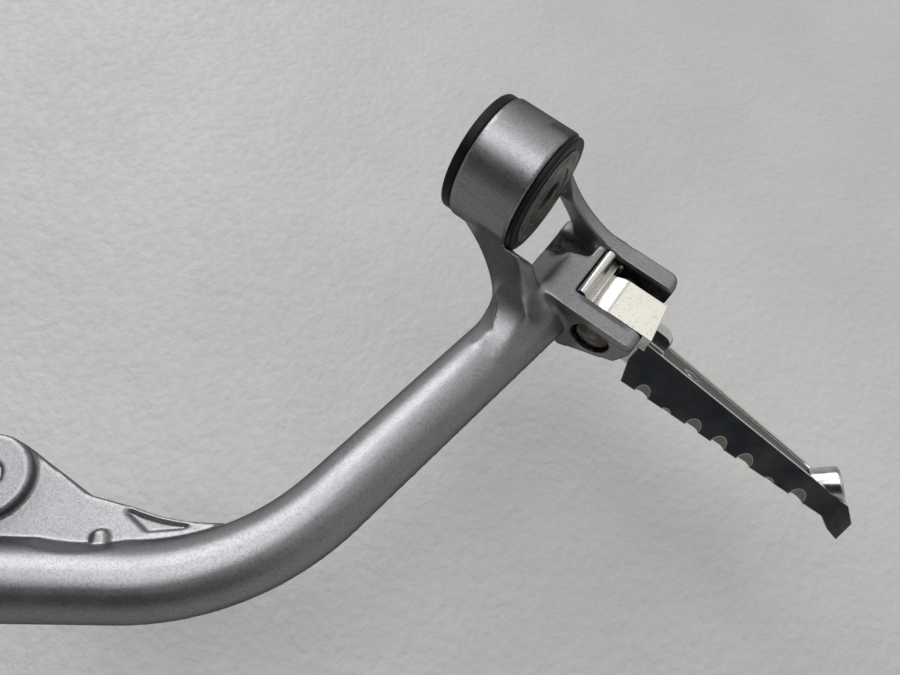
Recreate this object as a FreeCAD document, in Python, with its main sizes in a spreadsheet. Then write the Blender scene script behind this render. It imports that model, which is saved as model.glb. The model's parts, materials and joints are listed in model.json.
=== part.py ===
import FreeCAD, Part
import math
import os
import re
import Sketcher

# Folding footpeg on its cast hanger. Every sub-part is drawn about the fold pivot, with X outboard
# along the peg, Y along the pivot pin and Z out of the upper side. The object's own origin is the
# middle of the two frame bolts on the mounting face, so all sub-parts share one shift.
SIZES = [
    ("reach", 40.0, "longer than any cut across the part"),
    ("pivot_x", 116.0, "pivot from the middle of the frame bolts"),
    ("pivot_y", 186.5, ""),
    ("pivot_z", 6.0, "pivot above the mounting face"),
    ("arm_x", -19.95, "start of the arm's middle line"),
    ("arm_y", -16.0, ""),
    ("arm_lean", 7.8, "degrees inboard"),
    ("arm_run", 99.0, "straight run from the clevis"),
    ("arm_bend", 46.0, "degrees of the bend"),
    ("arm_bend_radius", 80.0, ""),
    ("arm_tail", 52.0, "straight run to the mounting plate"),
    ("arm_half", 11.3, "half width of the arm"),
    ("arm_lip", 4.5, "upright edge under the crown"),
    ("crown_slack", 0.3, "crown's radius beyond the half width"),
    ("channel_half", 6.4, "hollow along the back of the arm"),
    ("channel_deep", 6.5, ""),
    ("channel_draft", 1.6, ""),
    ("plate_thick", 4.5, "mounting plate"),
    ("plate_toe", 26.1, "plate's tip before the end of the bend, along the tail"),
    ("plate_toe_wide", 17.2, "and across from the arm's middle line"),
    ("plate_waist_wide", 21.0, "edge of the plate beside the end of the bend"),
    ("plate_neck", 13.3, "along the tail"),
    ("plate_neck_wide", 24.2, ""),
    ("plate_sweep", 62.0, "radius of the plate's hollow edge"),
    ("plate_rim", 1.1, "rim left round the sunk field"),
    ("plate_sunk", 1.3, "depth of the sunk field"),
    ("field_gap", 2.4, "sunk field clear of the arm"),
    ("plate_heel", 2.7, "plate's end short of the arm's end"),
    ("relief_along", 12.0, "middle of the round relief on the arm's inner shoulder"),
    ("relief_aside", 82.0, ""),
    ("relief_radius", 71.6, "at the plate's face"),
    ("relief_flare", 0.54, "growth of the radius with height"),
    ("tab_along", 7.6, "round tab at the foot of the relief"),
    ("tab_aside", 11.8, ""),
    ("tab_radius", 2.3, ""),
    ("tab_high", 1.4, "above the plate's face"),
    ("bolt_spacing", 33.0, ""),
    ("bolt_hole", 4.25, "radius"),
    ("bolt_boss", 12.5, "radius"),
    ("bolt_boss_high", 8.5, ""),
    ("slot_back", 13.2, "clevis slot"),
    ("slot_half", 10.8, ""),
    ("ear_near", 18.3, "outer face of the near ear"),
    ("ear_far", 17.5, "outer face of the far ear"),
    ("ear_front", 14.2, ""),
    ("ear_top", 11.2, ""),
    ("ear_low", 15.5, ""),
    ("ear_back", 32.0, ""),
    ("back_run", 8.0, "round at the top of the clevis's back"),
    ("back_drop", 7.0, ""),
    ("heel_x", 8.6, "lowest place of the ears, behind the pivot"),
    ("toe_back", 2.6, "front corner of the ears drawn back"),
    ("toe_low", 5.0, "below the pivot"),
    ("toe_high", 3.0, "above the pivot"),
    ("ear_bead", 3.4, "rounded bead along the near ear's top"),
    ("ear_draft", 1.7, "how far the near face falls back under the bead"),
    ("step_deep", 8.0, "low step between the back wall and the far web"),
    ("step_wall", 3.2, "wall left behind the slot"),
    ("ear_round", 3.2, "rounding of the ear ends"),
    ("head_bore", 7.25, "counterbore radius"),
    ("head_bore_deep", 5.0, ""),
    ("barrel_y", -4.2, "bush barrel"),
    ("barrel_z", 36.5, ""),
    ("barrel_start", -60.0, ""),
    ("barrel_long", 21.8, ""),
    ("barrel_radius", 21.0, ""),
    ("barrel_bore", 18.8, ""),
    ("barrel_edge", 0.6, "chamfer"),
    ("leg_near", 24.5, "near leg"),
    ("leg_thick", 6.8, ""),
    ("leg_foot", 1.0, "foot above the mounting face"),
    ("leg_foot_in", 36.0, ""),
    ("leg_foot_out", 12.0, ""),
    ("leg_ankle", 15.0, "start of its outer edge"),
    ("leg_ankle_high", 1.0, "above the pivot"),
    ("leg_top_in", 53.0, ""),
    ("leg_top_out", 32.0, ""),
    ("barrel_sink", 8.0, "ends of leg and web below the barrel's middle"),
    ("leg_flank", 60.0, "radius of its inner edge"),
    ("leg_outer_flank", 110.0, ""),
    ("neck_reach", 19.5, "length of the swelling from the leg onto the arm"),
    ("web_near", 10.8, "far web"),
    ("web_thick", 5.8, ""),
    ("web_front", 6.0, ""),
    ("web_low", 4.0, ""),
    ("web_foot_in", 22.0, ""),
    ("web_top_in", 51.0, ""),
    ("web_top_out", 37.0, ""),
    ("web_flank", 45.0, ""),
    ("rubber_flange", 20.4, "radius"),
    ("rubber_flange_thick", 3.5, ""),
    ("rubber_face_thick", 2.0, "flange on the open face"),
    ("rubber_room", 0.5, "clearance round the flanges"),
    ("collar_radius", 10.0, ""),
    ("collar_flange", 16.6, ""),
    ("collar_flange_thick", 0.6, ""),
    ("collar_bore", 5.2, ""),
    ("pin_radius", 4.0, ""),
    ("pin_play", 0.06, "running clearance on the radius"),
    ("pin_head", 6.7, ""),
    ("pin_head_thick", 2.4, ""),
    ("pin_end", 21.0, ""),
    ("pin_chamfer", 0.6, ""),
    ("washer_radius", 7.4, ""),
    ("washer_thick", 1.0, ""),
    ("washer_play", 0.1, "on the radius"),
    ("clip_radius", 6.3, ""),
    ("clip_thick", 0.9, ""),
    ("clip_gap", 4.4, ""),
    ("groove_radius", 3.3, ""),
    ("spring_radius", 5.4, "middle of the wire"),
    ("spring_wire", 0.7, "radius"),
    ("spring_pitch", 1.7, ""),
    ("spring_turns", 1.75, ""),
    ("spring_far", 9.4, ""),
    ("spring_hole", 1.2, ""),
    ("spring_leg_up", 3.4, "leg behind the stop tail, beyond the coil"),
    ("spring_leg_set", 3.0, "depth of the other leg in the back wall"),
    ("spring_room", 0.3, "clearance round the coil"),
    ("tang_near", 10.4, "tang between the ears"),
    ("tang_far", 5.2, ""),
    ("tang_top", 10.5, ""),
    ("tang_flat_start", 0.4, ""),
    ("tang_flat_end", 17.6, "at the near side"),
    ("tang_skew", 2.2, "how much shorter the flat is at its far side"),
    ("tang_ramp", 16.0, "radius of the rise from the stop bead to the flat"),
    ("tang_foot", 24.0, "tang's end within the beam"),
    ("tang_throat", 3.0, "flat's end below the pivot"),
    ("tang_shoulder", 9.0, "levels within the beam"),
    ("tang_under", 11.0, ""),
    ("lug_start", 15.6, "lug beside the tang on the beam's far wall"),
    ("lug_flat", 21.2, ""),
    ("lug_end", 25.4, ""),
    ("lug_high", 1.9, ""),
    ("lug_round", 3.6, ""),
    ("lug_long", 15.0, "across the beam"),
    ("lug_set", 1.0, "in from the far wall's face"),
    ("tang_heel", 11.4, "radius"),
    ("heel_end", 3.0, "heel's end before the pivot"),
    ("bead_x", -10.9, "stop bead"),
    ("bead_radius", 1.9, ""),
    ("bead_z", 10.2, ""),
    ("bead_tail", 4.0, "foot of the stop tail above the pivot"),
    ("trough_x", -6.6, "trough beside the stop bead"),
    ("trough_deep", 3.0, ""),
    ("peg_turn", 45.0, "degrees the peg's section is turned about its length"),
    ("peg_root", 17.0, "station of the root's width and level"),
    ("root_top", 1.0, "root end beyond that station at the rim"),
    ("root_bulge", 2.0, "and half way to the tread"),
    ("root_low", 0.4, "root end short of it at the tread"),
    ("peg_tip", 106.2, ""),
    ("peg_middle", 1.7, "middle of the width"),
    ("peg_root_half", 11.2, ""),
    ("peg_tip_half", 5.3, ""),
    ("peg_under_root", -2.5, "underside level at the root"),
    ("peg_under_tip", -10.9, "underside level near the tip"),
    ("peg_under_end", 101.5, ""),
    ("peg_tread", -19.0, ""),
    ("peg_lip", 4.1, "lip beyond the tread"),
    ("lip_start", 97.4, ""),
    ("peg_wall", 3.74, ""),
    ("peg_floor", 4.0, ""),
    ("tip_drop", 4.4, "nose below the underside's end"),
    ("tray_start", 28.0, "hollow between the walls"),
    ("tray_end", 86.0, ""),
    ("groove_start", 24.0, "channel between the rims"),
    ("groove_end", 97.0, ""),
    ("rim_wide", 1.5, ""),
    ("rim_high", 0.9, ""),
    ("notch_first", 25.9, ""),
    ("notch_pitch", 10.27, ""),
    ("notch_radius", 2.6, ""),
    ("notch_deep", 2.7, ""),
    ("notch_shallow", 0.8, ""),
    ("notch_tilt", 47.0, "degrees the notches rise outward"),
    ("notch_run", 14.0, "length of each cut"),
    ("mark_x", 36.8, "round mark in the channel"),
    ("mark_radius", 3.2, ""),
    ("mark_deep", 0.5, ""),
    ("feeler_x", 92.5, "foot of the lean feeler in the peg's middle plane"),
    ("feeler_n", -11.8, ""),
    ("feeler_lean", 43.7, "degrees toward the tip"),
    ("feeler_radius", 6.1, ""),
    ("feeler_high", 6.5, ""),
    ("feeler_edge", 0.4, ""),
    ("feeler_seat", 2.7, "depth of the foot in the peg"),
    ("feeler_spigot", 2.6, "radius of the spigot below the foot"),
    ("feeler_set", 4.6, "depth of the spigot's end"),
]

doc = FreeCAD.newDocument("footpeg")
sheet = doc.addObject("Spreadsheet::Sheet", "Sizes")
for row, (alias, number, note) in enumerate(SIZES, start=1):
    sheet.set("A%d" % row, alias)
    sheet.set("B%d" % row, str(number))
    sheet.setAlias("B%d" % row, alias)
    sheet.set("C%d" % row, note)
doc.recompute()

ALIASES = {alias for alias, number, note in SIZES}
PIVOT = ("pivot_x", "pivot_y", "pivot_z")
Vector = FreeCAD.Vector


def named(expression):
    """The expression with every size written as a cell of the sheet."""
    def cell(match):
        word = match.group(0)
        return "Sizes." + word if word in ALIASES else word
    return re.sub(r"[a-z_]+[a-z0-9_]*", cell, expression)


def value(expression):
    """The number an expression has now."""
    return float(sheet.evalExpression(named(expression)))


def bind(item, path, expression):
    item.setExpression(path, named(expression))


def shift(item, x="0", y="0", z="0"):
    """Place an object by the pivot plus a local offset."""
    for letter, pivot, local in zip("xyz", PIVOT, (x, y, z)):
        bind(item, "Placement.Base." + letter, "%s + (%s)" % (pivot, local))


def new_body(name, x="0", y="0", z="0"):
    body = doc.addObject("PartDesign::Body", name)
    shift(body, x, y, z)
    return body


def peg_body(name):
    """A body whose XY plane lies along the peg's turned section."""
    body = doc.addObject("PartDesign::Body", name)
    body.Placement = FreeCAD.Placement(Vector(), FreeCAD.Rotation(Vector(-1, 0, 0), 45))
    shift(body)
    bind(body, "Placement.Rotation.Angle", "peg_turn")
    return body


def new_sketch(body, role, name, height="0"):
    """A sketch on one of the body's own planes, lifted along the plane's normal."""
    sketch = body.newObject("Sketcher::SketchObject", name)
    plane = [item for item in body.Origin.OriginFeatures if item.Role == role][0]
    sketch.AttachmentSupport = [(plane, "")]
    sketch.MapMode = "FlatFace"
    bind(sketch, "AttachmentOffset.Base.z", height)
    return sketch


def fix_point(sketch, piece, end, corner):
    for kind, expression in zip(("DistanceX", "DistanceY"), corner):
        index = sketch.addConstraint(Sketcher.Constraint(kind, -1, 1, piece, end, value(expression)))
        bind(sketch, "Constraints[%d]" % index, expression)


def outline(sketch, corners, bends=None, closed=True):
    """A chain of lines through corners given as expressions; bends maps a run's number to the radius
    of an arc, written with a minus when the arc bulges to the right of the run."""
    bends = bends or {}
    points = [Vector(value(x), value(y), 0) for x, y in corners]
    runs = len(points) if closed else len(points) - 1
    pieces = []
    for run in range(runs):
        start, end = points[run], points[(run + 1) % len(points)]
        first, last = 1, 2
        if run in bends:
            radius = value(bends[run])
            chord = end - start
            left = Vector(-chord.y, chord.x, 0).normalize()
            rise = abs(radius) - math.sqrt(radius ** 2 - (chord.Length / 2) ** 2)
            top = (start + end) * 0.5 + left * math.copysign(rise, radius)
            piece = sketch.addGeometry(Part.Arc(start, top, end), False)
            if sketch.getPoint(piece, 1).distanceToPoint(start) > 1e-6:
                first, last = 2, 1
            index = sketch.addConstraint(Sketcher.Constraint("Radius", piece, abs(radius)))
            bind(sketch, "Constraints[%d]" % index, "abs(%s)" % bends[run])
        else:
            piece = sketch.addGeometry(Part.LineSegment(start, end), False)
        pieces.append((piece, first, last))
    for run in range(runs - (0 if closed else 1)):
        one, two = pieces[run], pieces[(run + 1) % runs]
        sketch.addConstraint(Sketcher.Constraint("Coincident", one[0], one[2], two[0], two[1]))
    for run in range(runs):
        fix_point(sketch, pieces[run][0], pieces[run][1], corners[run])
    if not closed:
        fix_point(sketch, pieces[-1][0], pieces[-1][2], corners[-1])


def ring(sketch, x, y, *radii):
    """Circles about one middle."""
    for radius in radii:
        middle = Vector(value(x), value(y), 0)
        piece = sketch.addGeometry(Part.Circle(middle, Vector(0, 0, 1), value(radius)), False)
        fix_point(sketch, piece, 3, (x, y))
        index = sketch.addConstraint(Sketcher.Constraint("Radius", piece, value(radius)))
        bind(sketch, "Constraints[%d]" % index, radius)


def pad(body, sketch, length, backward=False, middle=False):
    feature = body.newObject("PartDesign::Pad", sketch.Name + "_pad")
    feature.Profile = sketch
    bind(feature, "Length", length)
    feature.Reversed = backward
    feature.Midplane = middle
    body.Tip = feature
    doc.recompute()
    return feature


def pocket(body, sketch, length, backward=False, middle=False):
    feature = body.newObject("PartDesign::Pocket", sketch.Name + "_pocket")
    feature.Profile = sketch
    bind(feature, "Length", length)
    feature.Reversed = backward
    feature.Midplane = middle
    body.Tip = feature
    doc.recompute()
    return feature


def turned(body, sketch, axis):
    feature = body.newObject("PartDesign::Revolution", sketch.Name + "_turned")
    feature.Profile = sketch
    feature.ReferenceAxis = (sketch, [axis])
    feature.Angle = 360
    body.Tip = feature
    doc.recompute()
    return feature


def joined(kind, name, items):
    feature = doc.addObject(kind, name)
    feature.Shapes = items
    feature.Refine = True
    doc.recompute()
    return feature


def cut_away(name, base, tool):
    feature = doc.addObject("Part::Cut", name)
    feature.Base = base
    feature.Tool = tool
    feature.Refine = True
    doc.recompute()
    return feature


def eased(body, feature, picked, kind, size, name):
    """A fillet or chamfer over the edges of a feature that a test picks."""
    names = ["Edge%d" % (n + 1) for n, edge in enumerate(feature.Shape.Edges) if picked(edge)]
    item = body.newObject("PartDesign::" + kind, name)
    item.Base = (feature, names)
    bind(item, "Radius" if kind == "Fillet" else "Size", size)
    body.Tip = item
    doc.recompute()
    return item


# Arm: a crowned section along a straight run, a bend and a straight run, hollow at the back
arm = new_body("arm")
turn_end = "(arm_lean + arm_bend)"
bend_start = ("arm_x - arm_run * sin(arm_lean)", "arm_y - arm_run * cos(arm_lean)")
bend_end = (
    bend_start[0] + " - arm_bend_radius * (cos(arm_lean) - cos%s)" % turn_end,
    bend_start[1] + " + arm_bend_radius * (sin(arm_lean) - sin%s)" % turn_end,
)
arm_end = (
    bend_end[0] + " - arm_tail * sin" + turn_end,
    bend_end[1] + " - arm_tail * cos" + turn_end,
)
arm_line = new_sketch(arm, "XY_Plane", "arm_line", "-pivot_z")
outline(arm_line, [("arm_x", "arm_y"), bend_start, bend_end, arm_end], {1: "arm_bend_radius"}, False)


def arm_section(name):
    sketch = arm.newObject("Sketcher::SketchObject", name)
    plane = [item for item in arm.Origin.OriginFeatures if item.Role == "XZ_Plane"][0]
    sketch.AttachmentSupport = [(plane, "")]
    sketch.MapMode = "FlatFace"
    sketch.AttachmentOffset = FreeCAD.Placement(Vector(), FreeCAD.Rotation(Vector(0, -1, 0), 5))
    bind(sketch, "AttachmentOffset.Base.x", "arm_x")
    bind(sketch, "AttachmentOffset.Base.y", "-pivot_z")
    bind(sketch, "AttachmentOffset.Base.z", "-arm_y")
    bind(sketch, "AttachmentOffset.Rotation.Angle", "arm_lean")
    return sketch


def swept(kind, name, section):
    feature = arm.newObject(kind, name)
    feature.Profile = section
    feature.Spine = (arm_line, ["Edge1", "Edge2", "Edge3"])
    arm.Tip = feature
    doc.recompute()


crown_radius = "(arm_half + crown_slack)"
crown = arm_section("arm_crown_section")
outline(crown, [("-arm_half", "0"), ("arm_half", "0"), ("arm_half", "arm_lip"), ("-arm_half", "arm_lip")],
        {2: "-" + crown_radius})
swept("PartDesign::AdditivePipe", "arm_solid", crown)
hollow = arm_section("arm_hollow_section")
outline(hollow, [("-channel_half", "-channel_draft"), ("channel_half", "-channel_draft"),
                 ("channel_half - channel_draft", "channel_deep"),
                 ("channel_draft - channel_half", "channel_deep")])
swept("PartDesign::SubtractivePipe", "arm_hollow", hollow)


def tail_point(along, aside):
    """A place by its distance along the arm's tail and across to the inner side of the bend."""
    return (
        "%s - (%s) * sin%s - (%s) * cos%s" % (bend_end[0], along, turn_end, aside, turn_end),
        "%s - (%s) * cos%s + (%s) * sin%s" % (bend_end[1], along, turn_end, aside, turn_end),
    )


relief = doc.addObject("Part::Cone", "arm_relief")
relief_middle = tail_point("relief_along", "relief_aside")
shift(relief, relief_middle[0], relief_middle[1], "plate_thick - pivot_z")
bind(relief, "Radius1", "relief_radius")
bind(relief, "Height", "2 * " + crown_radius)
bind(relief, "Radius2", "relief_radius + 2 * relief_flare * " + crown_radius)
arm_trimmed = cut_away("arm_trimmed", arm, relief)

# Mounting plate inside the bend, with a sunk field behind its thin rim and two bolt bosses
plate = new_body("plate", z="-pivot_z")
bolts = [("-pivot_x", "-pivot_y - bolt_spacing / 2"), ("-pivot_x", "-pivot_y + bolt_spacing / 2")]
plate_sheet = new_sketch(plate, "XY_Plane", "plate_sheet")
outline(plate_sheet, [
    tail_point("-plate_toe - arm_half / 3", "plate_toe_wide - arm_half / 2"),
    tail_point("-plate_toe", "plate_toe_wide"),
    tail_point("0", "plate_waist_wide"),
    tail_point("plate_neck", "plate_neck_wide"),
    ("-pivot_x", "-pivot_y + bolt_spacing / 2 + bolt_boss"),
    ("-pivot_x - bolt_boss", "-pivot_y + bolt_spacing / 2"),
    ("-pivot_x - bolt_boss", "-pivot_y - bolt_spacing / 2"),
    ("-pivot_x", "-pivot_y - bolt_spacing / 2 - bolt_boss"),
    tail_point("arm_tail - plate_heel", "-0.8 * arm_half"),
    tail_point("0", "0"),
], {1: "plate_sweep", 4: "bolt_boss", 6: "bolt_boss"})
pad(plate, plate_sheet, "plate_thick")
plate_bosses = new_sketch(plate, "XY_Plane", "plate_bosses")
for place in bolts:
    ring(plate_bosses, place[0], place[1], "bolt_boss")
pad(plate, plate_bosses, "bolt_boss_high")
plate_tab = new_sketch(plate, "XY_Plane", "plate_tab")
tab_middle = tail_point("tab_along", "tab_aside")
ring(plate_tab, tab_middle[0], tab_middle[1], "tab_radius")
pad(plate, plate_tab, "plate_thick + tab_high")
plate_field = new_sketch(plate, "XY_Plane", "plate_field", "plate_thick - plate_sunk")
outline(plate_field, [
    tail_point("0.3 * plate_neck", "0.7 * plate_waist_wide + 0.3 * plate_neck_wide - plate_rim"),
    tail_point("-0.35 * plate_neck", "arm_half + field_gap"),
    tail_point("-0.8 * plate_toe", "plate_toe_wide - 1.5 * plate_rim"),
    tail_point("-0.8 * plate_toe", "plate_toe_wide - plate_rim"),
    tail_point("0", "plate_waist_wide - plate_rim"),
], {3: "plate_sweep"})
pocket(plate, plate_field, "2 * plate_sunk", backward=True)
plate_holes = new_sketch(plate, "XY_Plane", "plate_holes")
for place in bolts:
    ring(plate_holes, place[0], place[1], "bolt_hole")
pocket(plate, plate_holes, "2 * bolt_boss_high", backward=True)

# Clevis: two ears and a back wall around the slot
clevis = new_body("clevis")
clevis_side = new_sketch(clevis, "XZ_Plane", "clevis_side", "ear_near")
outline(clevis_side, [
    ("-ear_back + back_run", "ear_top"),
    ("-ear_back", "ear_top - back_drop"),
    ("-ear_back", "-pivot_z"),
    ("-heel_x", "-ear_low"),
    ("ear_front - toe_back", "-toe_low"),
    ("ear_front", "toe_high"),
    ("ear_front", "ear_top"),
], {0: "ear_back / 2"})
clevis_block = pad(clevis, clevis_side, "ear_near + ear_far", backward=True)


def ear_end(edge):
    ends = [vertex.Point for vertex in edge.Vertexes]
    outer = [abs(point.y + value("ear_near")) < 0.01 or abs(point.y - value("ear_far")) < 0.01
             for point in ends]
    return all(outer) and all(point.x > value("ear_front - toe_back") - 0.01 for point in ends)


eased(clevis, clevis_block, ear_end, "Fillet", "ear_round", "ear_ends")
clevis_slot = new_sketch(clevis, "XY_Plane", "clevis_slot", "-reach")
outline(clevis_slot, [("-slot_back", "-slot_half"), ("reach", "-slot_half"),
                      ("reach", "slot_half"), ("-slot_back", "slot_half")])
pocket(clevis, clevis_slot, "2 * reach", backward=True)
clevis_step = new_sketch(clevis, "XY_Plane", "clevis_step", "ear_top - step_deep")
outline(clevis_step, [
    ("-2 * ear_back", "0"),
    ("-slot_back - step_wall - slot_half", "0"),
    ("-slot_back - step_wall", "slot_half * 0.4"),
    ("-slot_back - step_wall", "slot_half"),
    ("-2 * ear_back", "slot_half"),
])
pocket(clevis, clevis_step, "2 * step_deep", backward=True)
clevis_face = new_sketch(clevis, "XY_Plane", "clevis_face", "ear_top - ear_bead")
outline(clevis_face, [
    ("-slot_back - step_wall * 2", "-ear_near"),
    ("2 * ear_front", "-ear_near - ear_draft"),
    ("2 * ear_front", "-ear_near + ear_draft * 1.5"),
])
pocket(clevis, clevis_face, "reach")

# Near leg and far web that carry the barrel
leg = new_body("leg")
leg_side = new_sketch(leg, "XZ_Plane", "leg_side", "leg_near")
outline(leg_side, [
    ("-leg_foot_in", "leg_foot - pivot_z"),
    ("-leg_foot_out", "leg_foot - pivot_z"),
    ("-leg_ankle", "leg_ankle_high"),
    ("-leg_top_out", "barrel_z - barrel_sink"),
    ("-leg_top_in", "barrel_z - barrel_sink"),
], {2: "leg_outer_flank", 4: "leg_flank"})
pad(leg, leg_side, "leg_thick", backward=True)


def neck_section(name, distance, corners):
    """A section across the arm at a distance from the pivot. Its corners lie beside the arm's middle
    line and above the crown by shares of the arm's half width, the two feet at the leg's foot."""
    middle = "arm_x - (%s + arm_y) * tan(arm_lean)" % distance
    sketch = new_sketch(neck, "XZ_Plane", name, distance)
    feet = [("%s + (%s) * arm_half" % (middle, share), "leg_foot - pivot_z") for share in corners[0]]
    rest = [("%s + (%s) * arm_half" % (middle, share), "%s + (%s) * arm_half" % (arm_top, height))
            for share, height in corners[1:]]
    outline(sketch, feet + rest)
    return sketch


neck = new_body("neck")
arm_top = "(arm_lip + %s - sqrt(%s ^ 2 - arm_half ^ 2) - pivot_z)" % (crown_radius, crown_radius)
neck_root = neck_section("neck_root", "leg_near - 0.15 * leg_thick", [
    ("-1.3", "0.6"), ("0.34", "-0.32"), ("-0.34", "0.67"), ("-1.15", "0.67"), ("-1.37", "-0.32")])
neck_waist = neck_section("neck_waist", "leg_near + 0.3 * neck_reach", [
    ("-1.12", "0.82"), ("0.7", "-0.47"), ("0.22", "0.04"), ("-0.7", "0.1"), ("-1.1", "-0.4")])
neck_foot = neck_section("neck_foot", "leg_near + neck_reach", [
    ("-0.88", "0.88"), ("0.77", "-0.61"), ("0.3", "-0.11"), ("-0.3", "-0.11"), ("-0.77", "-0.61")])
neck_swell = neck.newObject("PartDesign::AdditiveLoft", "neck_swell")
neck_swell.Profile = neck_root
neck_swell.Sections = [neck_waist, neck_foot]
neck_swell.Ruled = True
neck.Tip = neck_swell
doc.recompute()
web = new_body("web")
web_side = new_sketch(web, "XZ_Plane", "web_side", "-web_near")
outline(web_side, [
    ("-web_front", "-web_low"),
    ("-web_front", "ear_top"),
    ("-web_top_out", "barrel_z - barrel_sink"),
    ("-web_top_in", "barrel_z - barrel_sink"),
    ("-web_foot_in", "-pivot_z"),
], {1: "web_flank", 3: "web_flank"})
pad(web, web_side, "web_thick", backward=True)

# Barrel for the bush
barrel = new_body("barrel", y="barrel_y", z="barrel_z")
barrel_face = new_sketch(barrel, "YZ_Plane", "barrel_face", "barrel_start")
ring(barrel_face, "0", "0", "barrel_radius")
barrel_solid = pad(barrel, barrel_face, "barrel_long")
eased(barrel, barrel_solid, lambda edge: edge.Curve.TypeId == "Part::GeomCircle", "Chamfer", "barrel_edge",
      "barrel_edges")

hanger_solid = joined("Part::MultiFuse", "hanger_solid", [arm_trimmed, plate, clevis, leg, neck, web, barrel])

# Bores of the hanger: bush bore, pin holes, counterbore and the spring's hole
bush_bore = new_body("bush_bore", y="barrel_y", z="barrel_z")
bush_bore_face = new_sketch(bush_bore, "YZ_Plane", "bush_bore_face", "barrel_start - reach")
ring(bush_bore_face, "0", "0", "barrel_bore")
pad(bush_bore, bush_bore_face, "barrel_long + 2 * reach")
flange_room = new_sketch(bush_bore, "YZ_Plane", "flange_room", "barrel_start + barrel_long")
ring(flange_room, "0", "0", "rubber_flange + rubber_room")
pad(bush_bore, flange_room, "reach")
pin_bore = new_body("pin_bore")
pin_bore_side = new_sketch(pin_bore, "XY_Plane", "pin_bore_side")
outline(pin_bore_side, [("0", "-reach"), ("head_bore", "-reach"), ("head_bore", "head_bore_deep - ear_near"),
                        ("pin_radius + pin_play", "head_bore_deep - ear_near"),
                        ("pin_radius + pin_play", "reach"), ("0", "reach")])
turned(pin_bore, pin_bore_side, "V_Axis")
spring_bore = new_body("spring_bore", y="spring_far - spring_pitch * spring_turns", z="spring_radius")
spring_bore_face = new_sketch(spring_bore, "YZ_Plane", "spring_bore_face", "-slot_back - 1.5 * spring_leg_set")
ring(spring_bore_face, "0", "0", "spring_hole")
pad(spring_bore, spring_bore_face, "2 * spring_leg_set")
hanger_bores = joined("Part::MultiFuse", "hanger_bores", [bush_bore, pin_bore, spring_bore])
hanger = cut_away("hanger", hanger_solid, hanger_bores)

# Bush: rubber sleeve with a flange at each end, steel collar with a thin flange on the open face
rubber = new_body("bush_rubber", y="barrel_y", z="barrel_z")
rubber_side = new_sketch(rubber, "XY_Plane", "rubber_side")
rubber_low = "(barrel_start - rubber_flange_thick)"
barrel_end = "(barrel_start + barrel_long)"
rubber_high = "(%s + rubber_face_thick)" % barrel_end
outline(rubber_side, [
    (rubber_low, "collar_radius"),
    (rubber_high, "collar_radius"),
    (rubber_high, "rubber_flange"),
    (barrel_end, "rubber_flange"),
    (barrel_end, "barrel_bore"),
    ("barrel_start", "barrel_bore"),
    ("barrel_start", "rubber_flange"),
    (rubber_low, "rubber_flange"),
])
turned(rubber, rubber_side, "H_Axis")
collar = new_body("bush_collar", y="barrel_y", z="barrel_z")
collar_side = new_sketch(collar, "XY_Plane", "collar_side")
outline(collar_side, [
    (rubber_low, "collar_bore"),
    (rubber_high + " + collar_flange_thick", "collar_bore"),
    (rubber_high + " + collar_flange_thick", "collar_flange"),
    (rubber_high, "collar_flange"),
    (rubber_high, "collar_radius"),
    (rubber_low, "collar_radius"),
])
turned(collar, collar_side, "H_Axis")

# Pivot pin with its washer and spring clip
pin = new_body("pivot_pin")
pin_side = new_sketch(pin, "XY_Plane", "pin_side")
head_seat = "(head_bore_deep - ear_near)"
clip_start = "(ear_far + washer_thick)"
outline(pin_side, [
    ("0", head_seat + " - pin_head_thick"),
    ("pin_head", head_seat + " - pin_head_thick"),
    ("pin_head", head_seat),
    ("pin_radius", head_seat),
    ("pin_radius", clip_start),
    ("groove_radius", clip_start),
    ("groove_radius", clip_start + " + clip_thick"),
    ("pin_radius", clip_start + " + clip_thick"),
    ("pin_radius", "pin_end - pin_chamfer"),
    ("pin_radius - pin_chamfer", "pin_end"),
    ("0", "pin_end"),
])
turned(pin, pin_side, "V_Axis")
washer = new_body("pin_washer")
washer_face = new_sketch(washer, "XZ_Plane", "washer_face", "-ear_far")
ring(washer_face, "0", "0", "washer_radius", "pin_radius + washer_play")
pad(washer, washer_face, "washer_thick", backward=True)
clip = new_body("pin_clip")
clip_face = new_sketch(clip, "XZ_Plane", "clip_face", "-" + clip_start)
ring(clip_face, "0", "0", "clip_radius", "groove_radius")
pad(clip, clip_face, "clip_thick", backward=True)
clip_mouth = new_sketch(clip, "XZ_Plane", "clip_mouth", "-" + clip_start)
outline(clip_mouth, [("-clip_gap / 2", "-2 * clip_radius"), ("clip_gap / 2", "-2 * clip_radius"),
                     ("clip_gap / 2", "-groove_radius / 3"), ("-clip_gap / 2", "-groove_radius / 3")])
pocket(clip, clip_mouth, "2 * clip_thick", middle=True)

# Return spring: a wire lofted along one leg, the coils round the pin and the other leg
coil_radius = value("spring_radius")
wire_radius = value("spring_wire")
coil_steps = round(16 * value("spring_turns"))


def wire_ring(middle, outward):
    """The wire's six-sided section about a place of its middle line."""
    corners = []
    for side in range(7):
        turn = math.radians(60 * side + 30)
        corners.append(middle + outward * (wire_radius * math.cos(turn))
                       + Vector(0, 0, wire_radius * math.sin(turn)))
    return Part.makePolygon(corners)


def coil_ring(step):
    """The wire's section after a number of steps, sixteen to a turn."""
    turn = 2 * math.pi * step / 16
    outward = Vector(math.cos(turn), math.sin(turn), 0)
    rise = Vector(0, 0, value("spring_pitch") * step / 16)
    return outward * coil_radius + rise, outward


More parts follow.
